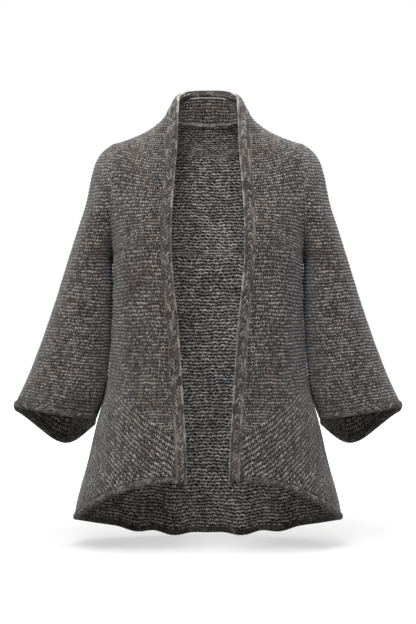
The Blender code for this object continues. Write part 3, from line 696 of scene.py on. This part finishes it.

# The two sides of the knit: waves a stitch, how far they drift, in waves, how far they reach, in
# rows, what the rows and the dots between beads add to the tone as painted shade in the gaps, what
# each half stitch's own random tone adds, and how much darker it is in all.
FACE_SIDE = {
    "waves": 1.0, "drift": 0.9, "reach": WAVE, "row": 0.23, "dot": 0.24, "shade": 0.20, "dark": 0.75,
}
REVERSE_SIDE = {
    "waves": 0.8, "drift": 1.6, "reach": 0.13, "row": 0.30, "dot": 0.16, "shade": 0.30, "dark": 0.80,
}


def linear(code):
    """A linear colour with alpha from an sRGB hex code."""
    parts = [int(code[i : i + 2], 16) / 255 for i in (1, 3, 5)]
    parts = [c / 12.92 if c <= 0.04045 else ((c + 0.055) / 1.055) ** 2.4 for c in parts]
    return (*parts, 1.0)


def add_node(tree, kind, inputs=(), operation=None, stops=(), **settings):
    """A shader node. inputs are its sockets' values, or the nodes or sockets linked to them.

    They are a dict, or in the order of the sockets. stops are a colour ramp's places and hex codes.
    """
    made = tree.nodes.new("ShaderNode" + kind)
    if operation:
        made.operation = operation
    for name, value in settings.items():
        setattr(made, name, value)
    for socket, value in inputs.items() if isinstance(inputs, dict) else enumerate(inputs):
        if isinstance(value, bpy.types.Node):
            value = value.outputs[0]
        if isinstance(value, bpy.types.NodeSocket):
            tree.links.new(value, made.inputs[socket])
        else:
            made.inputs[socket].default_value = value
    for place, _ in stops[1:-1]:
        made.color_ramp.elements.new(place)
    for k, (place, code) in enumerate(stops):
        made.color_ramp.elements[k].position = place
        made.color_ramp.elements[k].color = linear(code)
    return made


def new_material(name):
    """A material with no nodes yet, and add_node for its tree."""
    made = bpy.data.materials.new(name)
    made.use_nodes = True
    made.node_tree.nodes.clear()
    return made, partial(add_node, made.node_tree)


def patches(node, colour, hues, strength):
    """The colour drifting softly towards a few hues, each in patches of its own."""
    place = node("TexCoord").outputs["Object"]
    for k, code in enumerate(hues):
        moved = node("VectorMath", (place, [shift * k for shift in PATCH_SHIFT]))
        cloud = node("TexNoise", {
            "Vector": moved, "Scale": 1 / PATCH_SIZE, "Detail": 3.0, "Roughness": 0.6,
        })
        share = node("MapRange", (cloud, *PATCH_RIM, 0.0, strength))
        mixed = node("Mix", {0: share, 6: colour, 7: linear(code)},
                     data_type="RGBA", blend_type="SOFT_LIGHT")
        colour = mixed.outputs[2]
    return colour


def finished(node, colour, height, bump_depth):
    """The wool's shader: rough, slightly furry, with its yarn raised by this height."""
    bump = node("Bump", {"Height": height, "Distance": bump_depth})
    shader = node("BsdfPrincipled", {
        "Base Color": colour, "Normal": bump, "Roughness": 0.92, "IOR": 1.5,
        "Specular IOR Level": 0.2, "Sheen Weight": 0.25, "Sheen Roughness": 0.5,
    })
    node("OutputMaterial", {"Surface": shader})


def knit_material(name, side, stops, hues):
    """Marled wool knit, drawn in its own stitches and rows.

    The eye gets beaded rows of stitches with painted near-black shade in the gaps under them, a
    yarn whose light and dark strands change from stitch to stitch, pale flecks, and soft patches of
    other hues.
    """
    made, node = new_material(name)
    place = node("UVMap", uv_map="Stitches")
    split = node("SeparateXYZ", (place,))
    along, row = split.outputs[0], split.outputs[1]
    warp = node("TexNoise", {"Vector": place, "Scale": WARP_SCALE, "Detail": 3.0})
    number = node("Math", (row,), "ROUND")
    own = node("TexWhiteNoise", {"W": number}, noise_dimensions="1D")
    turn = node("Math", (along, side["waves"], own), "MULTIPLY_ADD")
    turn = node("Math", (warp, side["drift"], turn), "MULTIPLY_ADD")
    angle = node("Math", (turn, 2 * math.pi), "MULTIPLY")
    wave = node("Math", (angle,), "COSINE")
    waved = node("Math", (wave, side["reach"], row), "MULTIPLY_ADD")
    waved = node("Math", (warp, ROW_WARP, waved), "MULTIPLY_ADD")
    waved = node("Math", (waved, ROW_WARP / 2), "SUBTRACT")
    angle = node("Math", (waved, 2 * math.pi), "MULTIPLY")
    ridge = node("Math", (angle,), "COSINE")
    angle = node("Math", (turn, 4 * math.pi), "MULTIPLY")
    bead = node("Math", (angle,), "COSINE")
    gap = node("Math", (ridge, 1.0), "SUBTRACT")
    dot = node("Math", (gap, bead), "MULTIPLY")
    # Painted shade: the rows' height goes into the tone, so the gaps between rows and the dots
    # between beads are painted near black; the same height also raises the bump.
    height = node("Math", (ridge, side["row"], 0.5), "MULTIPLY_ADD")
    height = node("Math", (dot, side["dot"], height), "MULTIPLY_ADD")
    nearest = node("Math", (waved,), "ROUND")
    doubled = node("Math", (turn, 2.0), "MULTIPLY")
    half = node("Math", (doubled,), "FLOOR")
    cell = node("CombineXYZ", (half, nearest))
    shade = node("TexWhiteNoise", {"Vector": cell}, noise_dimensions="2D")
    stretched = node("VectorMath", (place, FIBRES), "MULTIPLY")
    fibre = node("TexNoise", {
        "Vector": stretched, "Scale": 1.0, "Detail": 4.0, "Roughness": 0.7,
    })
    fleck = node("MapRange", (shade, *FLECK_SHADES, 0.0, FLECK_TONE))
    tone = node("Math", (shade, side["shade"], height), "MULTIPLY_ADD")
    tone = node("Math", (fibre, FIBRE_TONE, tone), "MULTIPLY_ADD")
    # Painted shade: the flecks lighten the ridges and darken the gaps.
    tone = node("Math", (fleck, ridge, tone), "MULTIPLY_ADD")
    tone = node("Math", (tone, side["dark"]), "SUBTRACT")
    colour = node("ValToRGB", (tone,), stops=stops).outputs[0]
    colour = patches(node, colour, hues, KNIT_PATCHES)
    raised = node("Math", (fibre, FIBRE_RISE, height), "MULTIPLY_ADD")
    finished(node, colour, raised, KNIT_BUMP)
    return made


def yarn_material(name, stops):
    """Plied yarn of the bands and edgings: light strands with dark slits, changing along them, with
    painted light and shade round each loop.
    """
    made, node = new_material(name)
    place = node("UVMap", uv_map="Stitches")
    stretched = node("VectorMath", (place, PLIES), "MULTIPLY")
    fibre = node("TexNoise", {"Vector": stretched, "Scale": 1.0, "Detail": 3.0})
    split = node("SeparateXYZ", (place,))
    cell = node("Math", (split.outputs[0],), "FLOOR")
    loop = node("TexWhiteNoise", {"W": cell}, noise_dimensions="1D")
    # Painted light and shade: the tone changes with the place round each loop and bar.
    angle = node("Math", (split.outputs[1], 4 * math.pi), "MULTIPLY")
    crown = node("Math", (angle,), "COSINE")
    tone = node("Math", (crown, CROWN_PAINTED_LIGHT, CROWN_BASE), "MULTIPLY_ADD")
    tone = node("Math", (loop, LOOP_TONE, tone), "MULTIPLY_ADD")
    tone = node("Math", (fibre, PLY_TONE, tone), "MULTIPLY_ADD")
    colour = node("ValToRGB", (tone,), stops=stops).outputs[0]
    colour = patches(node, colour, ("#8a6a55", "#5c6478"), YARN_PATCHES)
    finished(node, colour, fibre, YARN_BUMP)
    return made


# The right side of the cloth: dark beaded rows, near black between the beads as painted shade, with
# pale flecks.
OUTSIDE = knit_material(
    "Marled_wool_knit", FACE_SIDE,
    ((0.26, "#040404"), (0.42, "#0e0d0d"), (0.54, "#242120"), (0.66, "#454240"), (0.80, "#918b86")),
    ("#86705f", "#5c6478", "#78605f"),
)
# The reverse, with slanting half stitches that stand at random in each row; it is lighter than the
# face, partly its own tone and partly painted light for the dimly lit inside of the garment.
INSIDE = knit_material(
    "Marled_wool_knit_reverse", REVERSE_SIDE,
    ((0.10, "#0c0c0c"), (0.32, "#2d2c2a"), (0.50, "#53514f"), (0.70, "#84817e"), (0.92, "#c2bfbb")),
    ("#6a5c54", "#525c70", "#665658"),
)
# The yarn of the front band, the lightest of the garment.
YARN = yarn_material(
    "Marled_wool_yarn",
    ((0.30, "#171514"), (0.46, "#383432"), (0.62, "#5f5a57"), (0.78, "#8e8883"), (0.92, "#bdb7b1")),
)
# The yarn of the rolled edgings, a shade darker.
EDGE_YARN = yarn_material(
    "Marled_wool_edging_yarn",
    ((0.30, "#100f0e"), (0.46, "#2a2725"), (0.62, "#464341"), (0.78, "#6e6a66"), (0.92, "#a49e99")),
)
# Painted shade: near-black yarn behind the loops, which stands in for the shadow between them.
CORE = yarn_material(
    "Marled_wool_core_painted_shade",
    ((0.25, "#0a0909"), (0.45, "#141312"), (0.65, "#1d1b1a"), (0.85, "#262423"), (1.0, "#322f2d")),
)


# ---------------------------------------------------------------- the cloth pieces

# Points a row and a stitch, on the outer and the inner face.
FRONT_DETAIL = ((4, 4), (2, 2))
BACK_DETAIL = ((2, 2), (4, 2))  # whose inner side shows more
SLEEVE_DETAIL = ((4, 3), (2, 2))
COLLAR_DETAIL = ((4, 4), (4, 4))
COLLAR_ROWS = 8
CORNER_ROWS = 36                # the slanted rows of a corner panel
CORNER_STEPS = 7.0              # equal steps down the side seam, over all of those rows
CORNER_BAND_STEPS = 1.3         # of them along the band, and the other rows end at the hem


def make_fronts():
    """The fronts down to the slanted seam, and the corner panels with slanted rows below it."""
    rows = Rows(front_at)
    gap = SEAM_GAP / 2 / lengths(cloth_edge(band_distance(FRONT_ROWS["edge_z"])))[-1]
    top = number_at(CORNER_TOP_Z, FRONT_NUMBERS, FRONT_ROWS["seam_z"])
    bottom = number_at(CORNER_FRONT_Z, FRONT_NUMBERS, FRONT_ROWS["edge_z"])
    lattices = []
    for per_row, per_stitch in FRONT_DETAIL:
        number = rows.lines(0.0, float(bottom - gap), per_row)
        past = np.clip((number + gap - top) / (bottom - top), 0.0, 1.0)
        lattices.append(Lattice(front_at, number, 0.0, 1 - np.sqrt(past), 0.0, per_stitch))
    fronts = sheet_mesh(front_at, partial(normals_of, front_at), lattices, rows, -1)

    # Below the seam a row's number falls by slant, more beside the band than at the side.
    at_side = (1.0 - top) / CORNER_STEPS
    at_band = (1.0 - bottom) / CORNER_BAND_STEPS

    def lowered(share, way):
        down = way * CORNER_STEPS
        past = (1 - share) ** 2
        number = top + gap + (bottom - top) * past + down * (at_side + (at_band - at_side) * past)
        return np.minimum(number, 1.0)

    def corner_at(share, way):
        return front_at(share, lowered(share, way))

    def corner_outward(share, way):
        return normals_of(front_at, share, lowered(share, way))

    corner_rows = Rows(corner_at, CORNER_ROWS)
    corner_rows.above = corner_rows.numbers * CORNER_ROWS
    lattices = []
    for per_row, per_stitch in FRONT_DETAIL:
        way = corner_rows.lines(0.0, 1.0, per_row)
        down = way * CORNER_STEPS
        reach = (1.0 - top - gap - down * at_side) / (bottom - top + down * (at_band - at_side))
        low = 1 - np.sqrt(np.clip(reach, 0.0, 1.0))
        lattices.append(Lattice(corner_at, way, low, 1.0, 1.0, per_stitch))
    corners = sheet_mesh(corner_at, corner_outward, lattices, corner_rows, -1)
    finishes = (OUTSIDE, INSIDE)
    return sheet_pair("front", fronts, finishes), sheet_pair("corner", corners, finishes)


def whole_sheet(name, half_at, outward_at, rows, detail, inside):
    """A sheet over both halves, from the face and the outward directions of its left half."""

    def whole(grid_at, share, number):
        grid = grid_at(np.clip(np.abs(2 * share - 1), 0.0, 1.0), number)
        grid[..., 0] *= np.where(share < 0.5, -1.0, 1.0)
        return grid

    face_at = partial(whole, half_at)
    lattices = [
        Lattice(face_at, rows.lines(0.0, 1.0, per_row), 0.0, 1.0, 0.5, per_stitch)
        for per_row, per_stitch in detail
    ]
    grids = sheet_mesh(face_at, partial(whole, outward_at), lattices, rows, 1, seam=(1, 0.0))
    return new_object(f"{name}_knit", grids, (OUTSIDE, inside), "knit", name)


def make_back():
    outward_at = partial(normals_of, back_at)
    return whole_sheet("back", back_at, outward_at, Rows(back_at), BACK_DETAIL, INSIDE)


def make_collar():
    """The stand at the back of the neck, from the front band down to the top of the back."""
    fine = np.linspace(0.0, BAND_DISTANCE[-1], FINE_STEPS)
    side = np.interp(-SEAM_GAP / 2, -cloth_edge(fine)[:, 1], fine)

    def half_at(share, number):
        upper = cloth_edge(side * share)
        lower = back_at(share, np.zeros_like(share)) + np.array([0.0, 0.0, SEAM_GAP])
        return upper + (lower - upper) * number[..., None]

    def outward_at(share, number):
        return -normals_of(half_at, share, number)

    rows = Rows(half_at, COLLAR_ROWS)
    # Painted shade: the collar's inner face takes the darker right-side knit, not the lighter
    # reverse, so it reads less lit.
    return whole_sheet("collar", half_at, outward_at, rows, COLLAR_DETAIL, OUTSIDE)


def make_sleeves():
    """The sleeves, open at the armhole and closed to a tube below the underarm."""
    rows = Rows(sleeve_face)
    underarm = (UNDERARM_Z - SLEEVE_TOP_Z) / (SLEEVE_END_Z - SLEEVE_TOP_Z)
    lattices = []
    for per_row, per_stitch in SLEEVE_DETAIL:
        above = rows.lines(0.0, underarm, per_row)
        below = rows.lines(underarm, 1.0, per_row)
        number = np.concatenate([above, below[1:]])
        lattices.append(Lattice(sleeve_face, number, 0.0, 1.0, 0.5, per_stitch))
    grids = sheet_mesh(
        sleeve_face, partial(normals_of, sleeve_face), lattices, rows, 0,
        closed_from=underarm, seam=(0, ARMHOLE_X),
    )
    # Painted shade: the sleeve's inner face takes the darker right-side knit, not the lighter
    # reverse, so the inside of the sleeve and cuff reads darker.
    return sheet_pair("sleeve", grids, (OUTSIDE, OUTSIDE))


# ---------------------------------------------------------------- bands and edgings

LOOP_SEGMENTS, LOOP_RINGS = 6, 5
LOOP_UV = (0.02, 0.98)          # of its own whole number of the pattern, which a loop covers
BAR_SIDES = 10
BAR_PLY = 0.3                   # of a loop's pattern of yarn, from one station of a bar to the next
PATTERN_STEP = 7.0              # of the pattern for each point before a part, so that none repeat
BAND_STATION = 5.0 * MM         # between the front band's sections
BAND_CLEAR = 7.0 * MM           # from its ends to the last loop
BAND_PITCH = 7.0 * MM
BAND_LOOP = np.array([6.2, 1.75, 2.1]) * MM     # half a loop's length, width and thickness
BAND_LEAN = math.radians(27)    # of its loops to its length
BAND_SUNK, BAND_BOW = 1.3 * MM, 1.2 * MM        # how deep a loop lies, and how far its ends dip
BAND_COLUMN = 0.27              # of the half width, to the middle of a column of loops
BAND_CORE = (0.74, 0.70)        # of its half width and depth
BAND_STRIP = {"at": 0.75, "wide": 0.22, "deep": 0.72}   # of the same
CORNER_ROUNDS = 3               # of averaging, at the cuffs
CORNER_REACH = 6.0 * MM         # either side of a loop, over which its edging's turn is read
EDGING_LAP = 0.6 * MM           # of the edging's soft side over the cloth's edge
EDGING_CLEAR = 3.0 * MM         # from the hem edging's ends to the last loop
EDGING_PITCH = 7.2 * MM
EDGING_LOOP = np.array([5.6, 1.9, 1.5]) * MM
EDGING_LEAN = math.radians(24)
EDGING_SUNK, EDGING_BOW = 1.3 * MM, 1.0 * MM
EDGING_CORE = (0.94, 0.74)
TURNED_LOOP = 0.45              # of a loop's length, where the edging turns a corner
EDGING_STRANDS = [              # place across, face, lean to one side or the other, place along
    (across, face, side, offset)
    for face in (1, -1)
    for across, side, offset in (
        (-0.70, 1, 0.0), (-0.15, -1, EDGING_PITCH / 2), (0.40, 1, 0.0), (0.86, -1, EDGING_PITCH / 2)
    )
]
HEM_STATIONS = (60, 100)        # along a front and along half of the back
CUFF_STATIONS = 96
NECK_NUMBER = 0.003             # of the back's rows, on which the chain lies
NECK_REACH, NECK_STATIONS = 0.97, 60    # of the back's half width, and the points along it
NECK_PITCH = 8.0 * MM
NECK_LOOP = np.array([5.2, 1.8, 1.5]) * MM
NECK_RISE, NECK_BOW = 0.6 * MM, 0.8 * MM        # of the chain over the inner face
NECK_SLANT, NECK_APART = 0.30, 1.5 * MM         # of its loops, and from its middle to each column


def yarn_loop():
    """One loop of yarn as points and triangles: a spindle from -1 to 1 along z."""
    bpy.ops.mesh.primitive_uv_sphere_add(segments=LOOP_SEGMENTS, ring_count=LOOP_RINGS, radius=1.0)
    made = bpy.context.object
    bpy.ops.object.mode_set(mode="EDIT")
    bpy.ops.mesh.select_all(action="SELECT")
    bpy.ops.mesh.quads_convert_to_tris()
    bpy.ops.object.mode_set(mode="OBJECT")
    mesh = made.data
    corners = np.empty(3 * len(mesh.vertices), np.float32)
    mesh.vertices.foreach_get("co", corners)
    faces = np.empty(3 * len(mesh.polygons), np.int32)
    mesh.polygons.foreach_get("vertices", faces)
    bpy.data.objects.remove(made)
    bpy.data.meshes.remove(mesh)
    return corners.reshape(-1, 3).astype(float), faces.reshape(-1, 3).astype(int)


LOOP_POINTS, LOOP_FACES = yarn_loop()


def loops(middle, along, across, out, size, bow):
    """Points, triangles and uvs of a yarn loop at each place.

    size is half a loop's length, width and thickness, and bow how far its ends dip.
    """
    across_share, out_share, along_share = LOOP_POINTS.T
    half_length, half_width, half_depth = np.broadcast_to(size, middle.shape).T[:, :, None]
    dipped = out_share * half_depth - bow * along_share**2
    made = (
        middle[:, None]
        + along[:, None] * (along_share * half_length)[:, :, None]
        + across[:, None] * (across_share * half_width)[:, :, None]
        + out[:, None] * dipped[:, :, None]
    )
    count = np.arange(len(middle))
    triangles = LOOP_FACES[None] + count[:, None, None] * len(LOOP_POINTS)
    around = np.arctan2(out_share, across_share) / (2 * np.pi) + 0.5
    u = count[:, None] + np.interp(along_share, (-1.0, 1.0), LOOP_UV)[None, :]
    uvs = np.stack(np.broadcast_arrays(u, around[None, :]), axis=-1)
    return made.reshape(-1, 3), triangles.reshape(-1, 3), uvs.reshape(-1, 2)


def joined(parts):
    """Several (points, triangles, uvs) as one."""
    points_of, triangles, uvs, offset = [], [], [], 0
    for vertices, faces, pairs in parts:
        points_of.append(vertices)
        triangles.append(faces + offset)
        uvs.append(pairs + np.array([offset * PATTERN_STEP, 0.0]))
        offset += len(vertices)
    return np.concatenate(points_of), np.concatenate(triangles), np.concatenate(uvs)


def bar(middle, wide, deep, ring=False):
    """Points, triangles and uvs of a rounded bar along a path."""
    side = np.arange(BAR_SIDES)
    turn = 2 * np.pi * side[None, :, None] / BAR_SIDES
    around = middle[:, None] + wide[:, None] * np.cos(turn) + deep[:, None] * np.sin(turn)
    count = len(middle)
    index = np.arange(count * BAR_SIDES).reshape(count, BAR_SIDES)
    following = np.roll(index, -1, axis=0)
    if not ring:
        index, following = index[:-1], following[:-1]
    a, b = index, np.roll(index, -1, axis=1)
    c, d = np.roll(following, -1, axis=1), following
    faces = np.stack([np.stack([a, b, c], -1), np.stack([a, c, d], -1)]).reshape(-1, 3)
    if not ring:
        first, last = side, side + (count - 1) * BAR_SIDES
        caps = [(first[0], first[k + 1], first[k]) for k in range(1, BAR_SIDES - 1)]
        caps += [(last[0], last[k], last[k + 1]) for k in range(1, BAR_SIDES - 1)]
        faces = np.concatenate([faces, caps])
    far = np.arange(count)[:, None] * BAR_PLY
    uvs = np.stack(np.broadcast_arrays(far, side[None, :] / BAR_SIDES), axis=-1)
    return around.reshape(-1, 3), faces, uvs.reshape(-1, 2)


def on_section(frame_at, places, across_share, face):
    """Surface place, outward and around directions of an oval section, front (1) or back (-1).

    frame_at gives middle, along, half width and half depth vectors at these places, and
    across_share is how far across its width the place lies, from -1 to 1.
    """
    middle, along, wide, deep = frame_at(places)
    half_wide = np.linalg.norm(wide, axis=-1, keepdims=True)
    half_deep = np.linalg.norm(deep, axis=-1, keepdims=True)
    up = face * math.sqrt(1 - across_share**2)
    place = middle + wide * across_share + deep * up
    out = unit(wide / half_wide**2 * across_share + deep / half_deep**2 * up)
    return place, along, out, np.cross(out, along)


def braid(frame_at, places, strands, lean, size, sunk, bow):
    """Yarn loops in columns along a band. strands lists where each column lies and how it leans."""
    parts = []
    for across_share, face, side, offset in strands:
        place, along, out, around = on_section(frame_at, places + offset, across_share, face)
        turned = unit(along + around * math.tan(lean * side) * face)
        parts.append(loops(place - out * sunk, turned, np.cross(out, turned), out, size, bow))
    return joined(parts)


def ranked(distance_of, frames):
    """A function giving each of these arrays between its stations, at distances along them."""
    def at(places):
        middle, along, wide, deep = (
            np.stack([np.interp(places, distance_of, column) for column in values.T], axis=-1)
            for values in frames
        )
        return middle, unit(along), wide, deep
    return at


def edging_object(name, core, rope, yarn, node):
    """One object of a core in painted shade and the yarn on it."""
    grids = joined((core, rope))
    slots = np.where(np.arange(len(grids[1])) < len(core[1]), 1, 0)
    return new_object(name, (*grids, slots), (yarn, CORE), "edging", node)


def make_front_band():
    """The ribbed band: a core in painted shade, smooth side strips and a column of V stitches on
    each face.
    """
    end = band_distance(BAND_END_Z)
    left = np.append(np.arange(0.0, end - BAND_ROUNDING["from_end"][0], BAND_STATION),
                     end - BAND_ROUNDING["from_end"])
    distance = np.concatenate([-left[:0:-1], left])
    along, to_cloth, outward = band_frame(distance)
    to_end = end - np.abs(distance)
    size = np.interp(to_end, BAND_ROUNDING["from_end"][::-1], BAND_ROUNDING["size"][::-1])[:, None]
    wide = to_cloth * band_column("width", distance)[:, None] / 2 * size
    deep = outward * FRONT_BAND_DEPTH / 2 * size
    middle = band_middle(distance)
    frame_at = ranked(distance, (middle, along, wide, deep))
    core = bar(middle, wide * BAND_CORE[0], deep * BAND_CORE[1])
    strips = [
        bar(middle + side * wide * BAND_STRIP["at"], wide * BAND_STRIP["wide"],
            deep * BAND_STRIP["deep"])
        for side in (1, -1)
    ]
    count = int((end - BAND_CLEAR) / BAND_PITCH)
    places = np.arange(-count, count + 1) * BAND_PITCH
    strands = [(side * BAND_COLUMN, face, side, 0.0) for face in (1, -1) for side in (1, -1)]
    rope = braid(frame_at, places, strands, BAND_LEAN, BAND_LOOP, BAND_SUNK, BAND_BOW)
    return edging_object("front_band_knit", core, joined([*strips, rope]), YARN, "front_band")


def lowest_edge(face_at, share):
    """The last row of a face with its outward and its downward directions."""
    number = np.ones_like(share)
    face = face_at(share, number)
    down = unit(face - face_at(share, number - SMALL_STEP))
    return face, normals_of(face_at, share, number), down


def edging_on(face, normals, down, ring=False):
    """Middle, along, width and depth vectors of the rolled edging below the edge of a sheet."""
    if ring:
        along = unit(np.roll(face, -1, axis=0) - np.roll(face, 1, axis=0))
    else:
        along = unit(np.gradient(face, axis=0))
    wide = unit(down - along * (down * along).sum(-1, keepdims=True))
    middle = face - normals * WALL / 2 + wide * (EDGING_WIDTH / 2 - EDGING_LAP)
    return middle, along, wide * EDGING_WIDTH / 2, np.cross(along, wide) * EDGING_DEPTH / 2


def softened(ring):
    """A closed line with its corners rounded, each point averaged with its neighbours."""
    for _ in range(CORNER_ROUNDS):
        ring = (np.roll(ring, 1, axis=0) + 2 * ring + np.roll(ring, -1, axis=0)) / 4
    return ring


def edging(name, middle, along, wide, deep, node, ring=False):
    """A rolled edging wrapped in slanting yarn."""
    distance = lengths(middle)
    arrays = middle, along, wide, deep
    if ring:
        distance = np.append(distance, distance[-1] + np.linalg.norm(middle[0] - middle[-1]))
        arrays = [np.concatenate([values, values[:1]]) for values in arrays]
    whole_way = distance[-1]
    frame_at = ranked(distance, arrays)
    count = round(whole_way / EDGING_PITCH)
    places = (np.arange(count) + 0.5) * whole_way / count
    if not ring:
        places = places[(places > EDGING_CLEAR) & (places < whole_way - EDGING_CLEAR)]
    before, after = frame_at(places - CORNER_REACH)[1], frame_at(places + CORNER_REACH)[1]
    straight = np.clip((before * after).sum(-1, keepdims=True), 0.0, 1.0)
    shortened = TURNED_LOOP + (1 - TURNED_LOOP) * straight**2
    size = EDGING_LOOP * np.hstack([shortened, np.ones((len(places), 2))])
    rope = braid(frame_at, places, EDGING_STRANDS, EDGING_LEAN, size, EDGING_SUNK, EDGING_BOW)
    core = bar(middle, wide * EDGING_CORE[0], deep * EDGING_CORE[1], ring)
    return edging_object(name, core, rope, EDGE_YARN, node)


def make_edgings():
    """The rolled edgings of the hem and the cuffs."""
    front_share = np.linspace(HEM_BAND_START, 1.0, HEM_STATIONS[0])
    back_share = np.linspace(1.0, 0.0, HEM_STATIONS[1])[1:]
    edges = [
        np.concatenate(grids)
        for grids in zip(lowest_edge(front_at, front_share), lowest_edge(back_at, back_share))
    ]
    both = [np.concatenate([grid, mirrored(grid[-2::-1])]) for grid in edges]
    hem = edging("hem_band_knit", *edging_on(*both), "hem_band")
    around = np.linspace(0.0, 1.0, CUFF_STATIONS + 1)[:-1]
    frames = [softened(part) for part in edging_on(*lowest_edge(sleeve_face, around), ring=True)]
    cuffs = [
        edging("cuff_knit_left", *frames, "cuff_left", ring=True),
        edging("cuff_knit_right", *(mirrored(part) for part in frames), "cuff_right", ring=True),
    ]
    return hem, cuffs


def make_neck_chain():
    """The chain of stitches inside the back, along the seam of the collar."""
    share = np.linspace(0.0, NECK_REACH, NECK_STATIONS)
    number = np.full_like(share, NECK_NUMBER)
    inward = -normals_of(back_at, share, number)
    half = back_at(share, number) + inward * (WALL + NECK_RISE)
    line = np.concatenate([mirrored(half[:0:-1]), half])
    inward = np.concatenate([mirrored(inward[:0:-1]), inward])
    along = unit(np.gradient(line, axis=0))
    down = np.cross(along, inward)
    distance = lengths(line)
    count = round(distance[-1] / NECK_PITCH)
    places = (np.arange(count) + 0.5) * distance[-1] / count
    middle, way, below, out = ranked(distance, (line, along, down, inward))(places)
    parts = []
    for side in (1, -1):
        turned = unit(way + below * NECK_SLANT * side)
        moved = middle + below * side * NECK_APART
        parts.append(loops(moved, turned, np.cross(out, turned), out, NECK_LOOP, NECK_BOW))
    grids = joined(parts)
    return new_object("neck_chain", (*grids, np.zeros(len(grids[1]))), (YARN,), "edging")


# ---------------------------------------------------------------- the garment

fronts, corners = make_fronts()
back = make_back()
sleeves = make_sleeves()
collar = make_collar()
band = make_front_band()
hem, cuffs = make_edgings()
chain = make_neck_chain()


# ---------------------------------------------------------------- camera, floor and light

PIXEL = 1.85 * MM               # of the garment at the neck, to one pixel of the picture
PICTURE_HEIGHT = 624            # in pixels
SENSOR_HEIGHT = 36.0            # in millimetres, as Blender gives a lens
CAMERA_AWAY, CAMERA_Z = 3.2, -0.361
FLOOR_Z, FLOOR_SIZE = -0.7935, 24.0
GLOW_FROM, GLOW_TO = 0.5, 2.2   # metres off, between which the floor's painted glow grows towards the wall
GLOW_NEAR, GLOW_FAR = 0.52, 0.95        # its own light there, which only the camera sees
AMBIENT = 0.36                  # the room's own light; the wall seen behind is white
MIDDLE = (0.0, 0.0, -0.35)      # of the garment
LIGHTS = (                      # name, place, target, size in metres, power in watts
    ("front", (-0.35, -2.8, 2.3), MIDDLE, 1.6, 112.0),
    ("key", (-1.9, -2.0, 1.9), MIDDLE, 1.4, 18.0),
    ("top", (0.0, -0.9, 3.0), (0.0, 0.3, -0.8), 2.6, 110.0),
    ("rear", (1.6, 2.8, 1.9), MIDDLE, 1.8, 45.0),
)


def add_camera():
    """A level camera in front of the garment, square to it."""
    data = bpy.data.cameras.new("camera")
    data.sensor_fit = "VERTICAL"
    data.sensor_height = SENSOR_HEIGHT
    data.lens = SENSOR_HEIGHT * CAMERA_AWAY / (PICTURE_HEIGHT * PIXEL)
    made = bpy.data.objects.new("camera", data)
    made.location = (0.0, -CAMERA_AWAY, CAMERA_Z)
    made.rotation_euler = (math.radians(90), 0.0, 0.0)
    bpy.context.scene.collection.objects.link(made)
    bpy.context.scene.camera = made


def make_floor():
    """A matt pale floor with a painted glow of its own, which grows towards the wall and only the
    camera sees.
    """
    bpy.ops.mesh.primitive_plane_add(size=FLOOR_SIZE, location=(0.0, 0.0, FLOOR_Z))
    made = bpy.context.object
    made.name = "floor"
    finish, node = new_material("Pale_floor")
    cloud = node("TexNoise", {"Scale": 2.0, "Detail": 2.0})
    colour = node("ValToRGB", (cloud,), stops=((0.0, "#adadac"), (1.0, "#b0b0b0")))
    place = node("TexCoord").outputs["Object"]
    away = node("VectorMath", (place,), "LENGTH").outputs["Value"]
    glow = node("MapRange", (away, GLOW_FROM, GLOW_TO, GLOW_NEAR, GLOW_FAR))
    rays = node("LightPath").outputs["Is Camera Ray"]
    glow = node("Math", (glow, rays), "MULTIPLY")
    shader = node("BsdfPrincipled", {
        "Base Color": colour, "Roughness": 1.0, "Specular IOR Level": 0.0,
        "Emission Color": linear("#ffffff"), "Emission Strength": glow,
    })
    node("OutputMaterial", {"Surface": shader})
    made.data.materials.append(finish)


def add_room():
    """White to the camera, and a softer light to all else."""
    world = bpy.data.worlds.new("studio")
    world.use_nodes = True
    world.node_tree.nodes.clear()
    node = partial(add_node, world.node_tree)
    rays = node("LightPath").outputs["Is Camera Ray"]
    strength = node("Math", (rays, 1.0 - AMBIENT, AMBIENT), "MULTIPLY_ADD")
    sky = node("Background", {"Color": linear("#ffffff"), "Strength": strength})
    node("OutputWorld", {"Surface": sky})
    bpy.context.scene.world = world


def add_light(name, place, target, size, power):
    """A soft square light of this size and power, turned to a target."""
    data = bpy.data.lights.new(name, "AREA")
    data.energy = power
    data.size = size
    made = bpy.data.objects.new(name, data)
    made.location = place
    way = np.array(place, float) - np.array(target, float)
    made.rotation_euler = (
        math.atan2(math.hypot(way[0], way[1]), way[2]), 0.0, math.atan2(way[0], -way[1])
    )
    made.visible_camera = False
    bpy.context.scene.collection.objects.link(made)


add_camera()
make_floor()
add_room()
for light in LIGHTS:
    add_light(*light)
bpy.context.scene.view_settings.view_transform = "Standard"
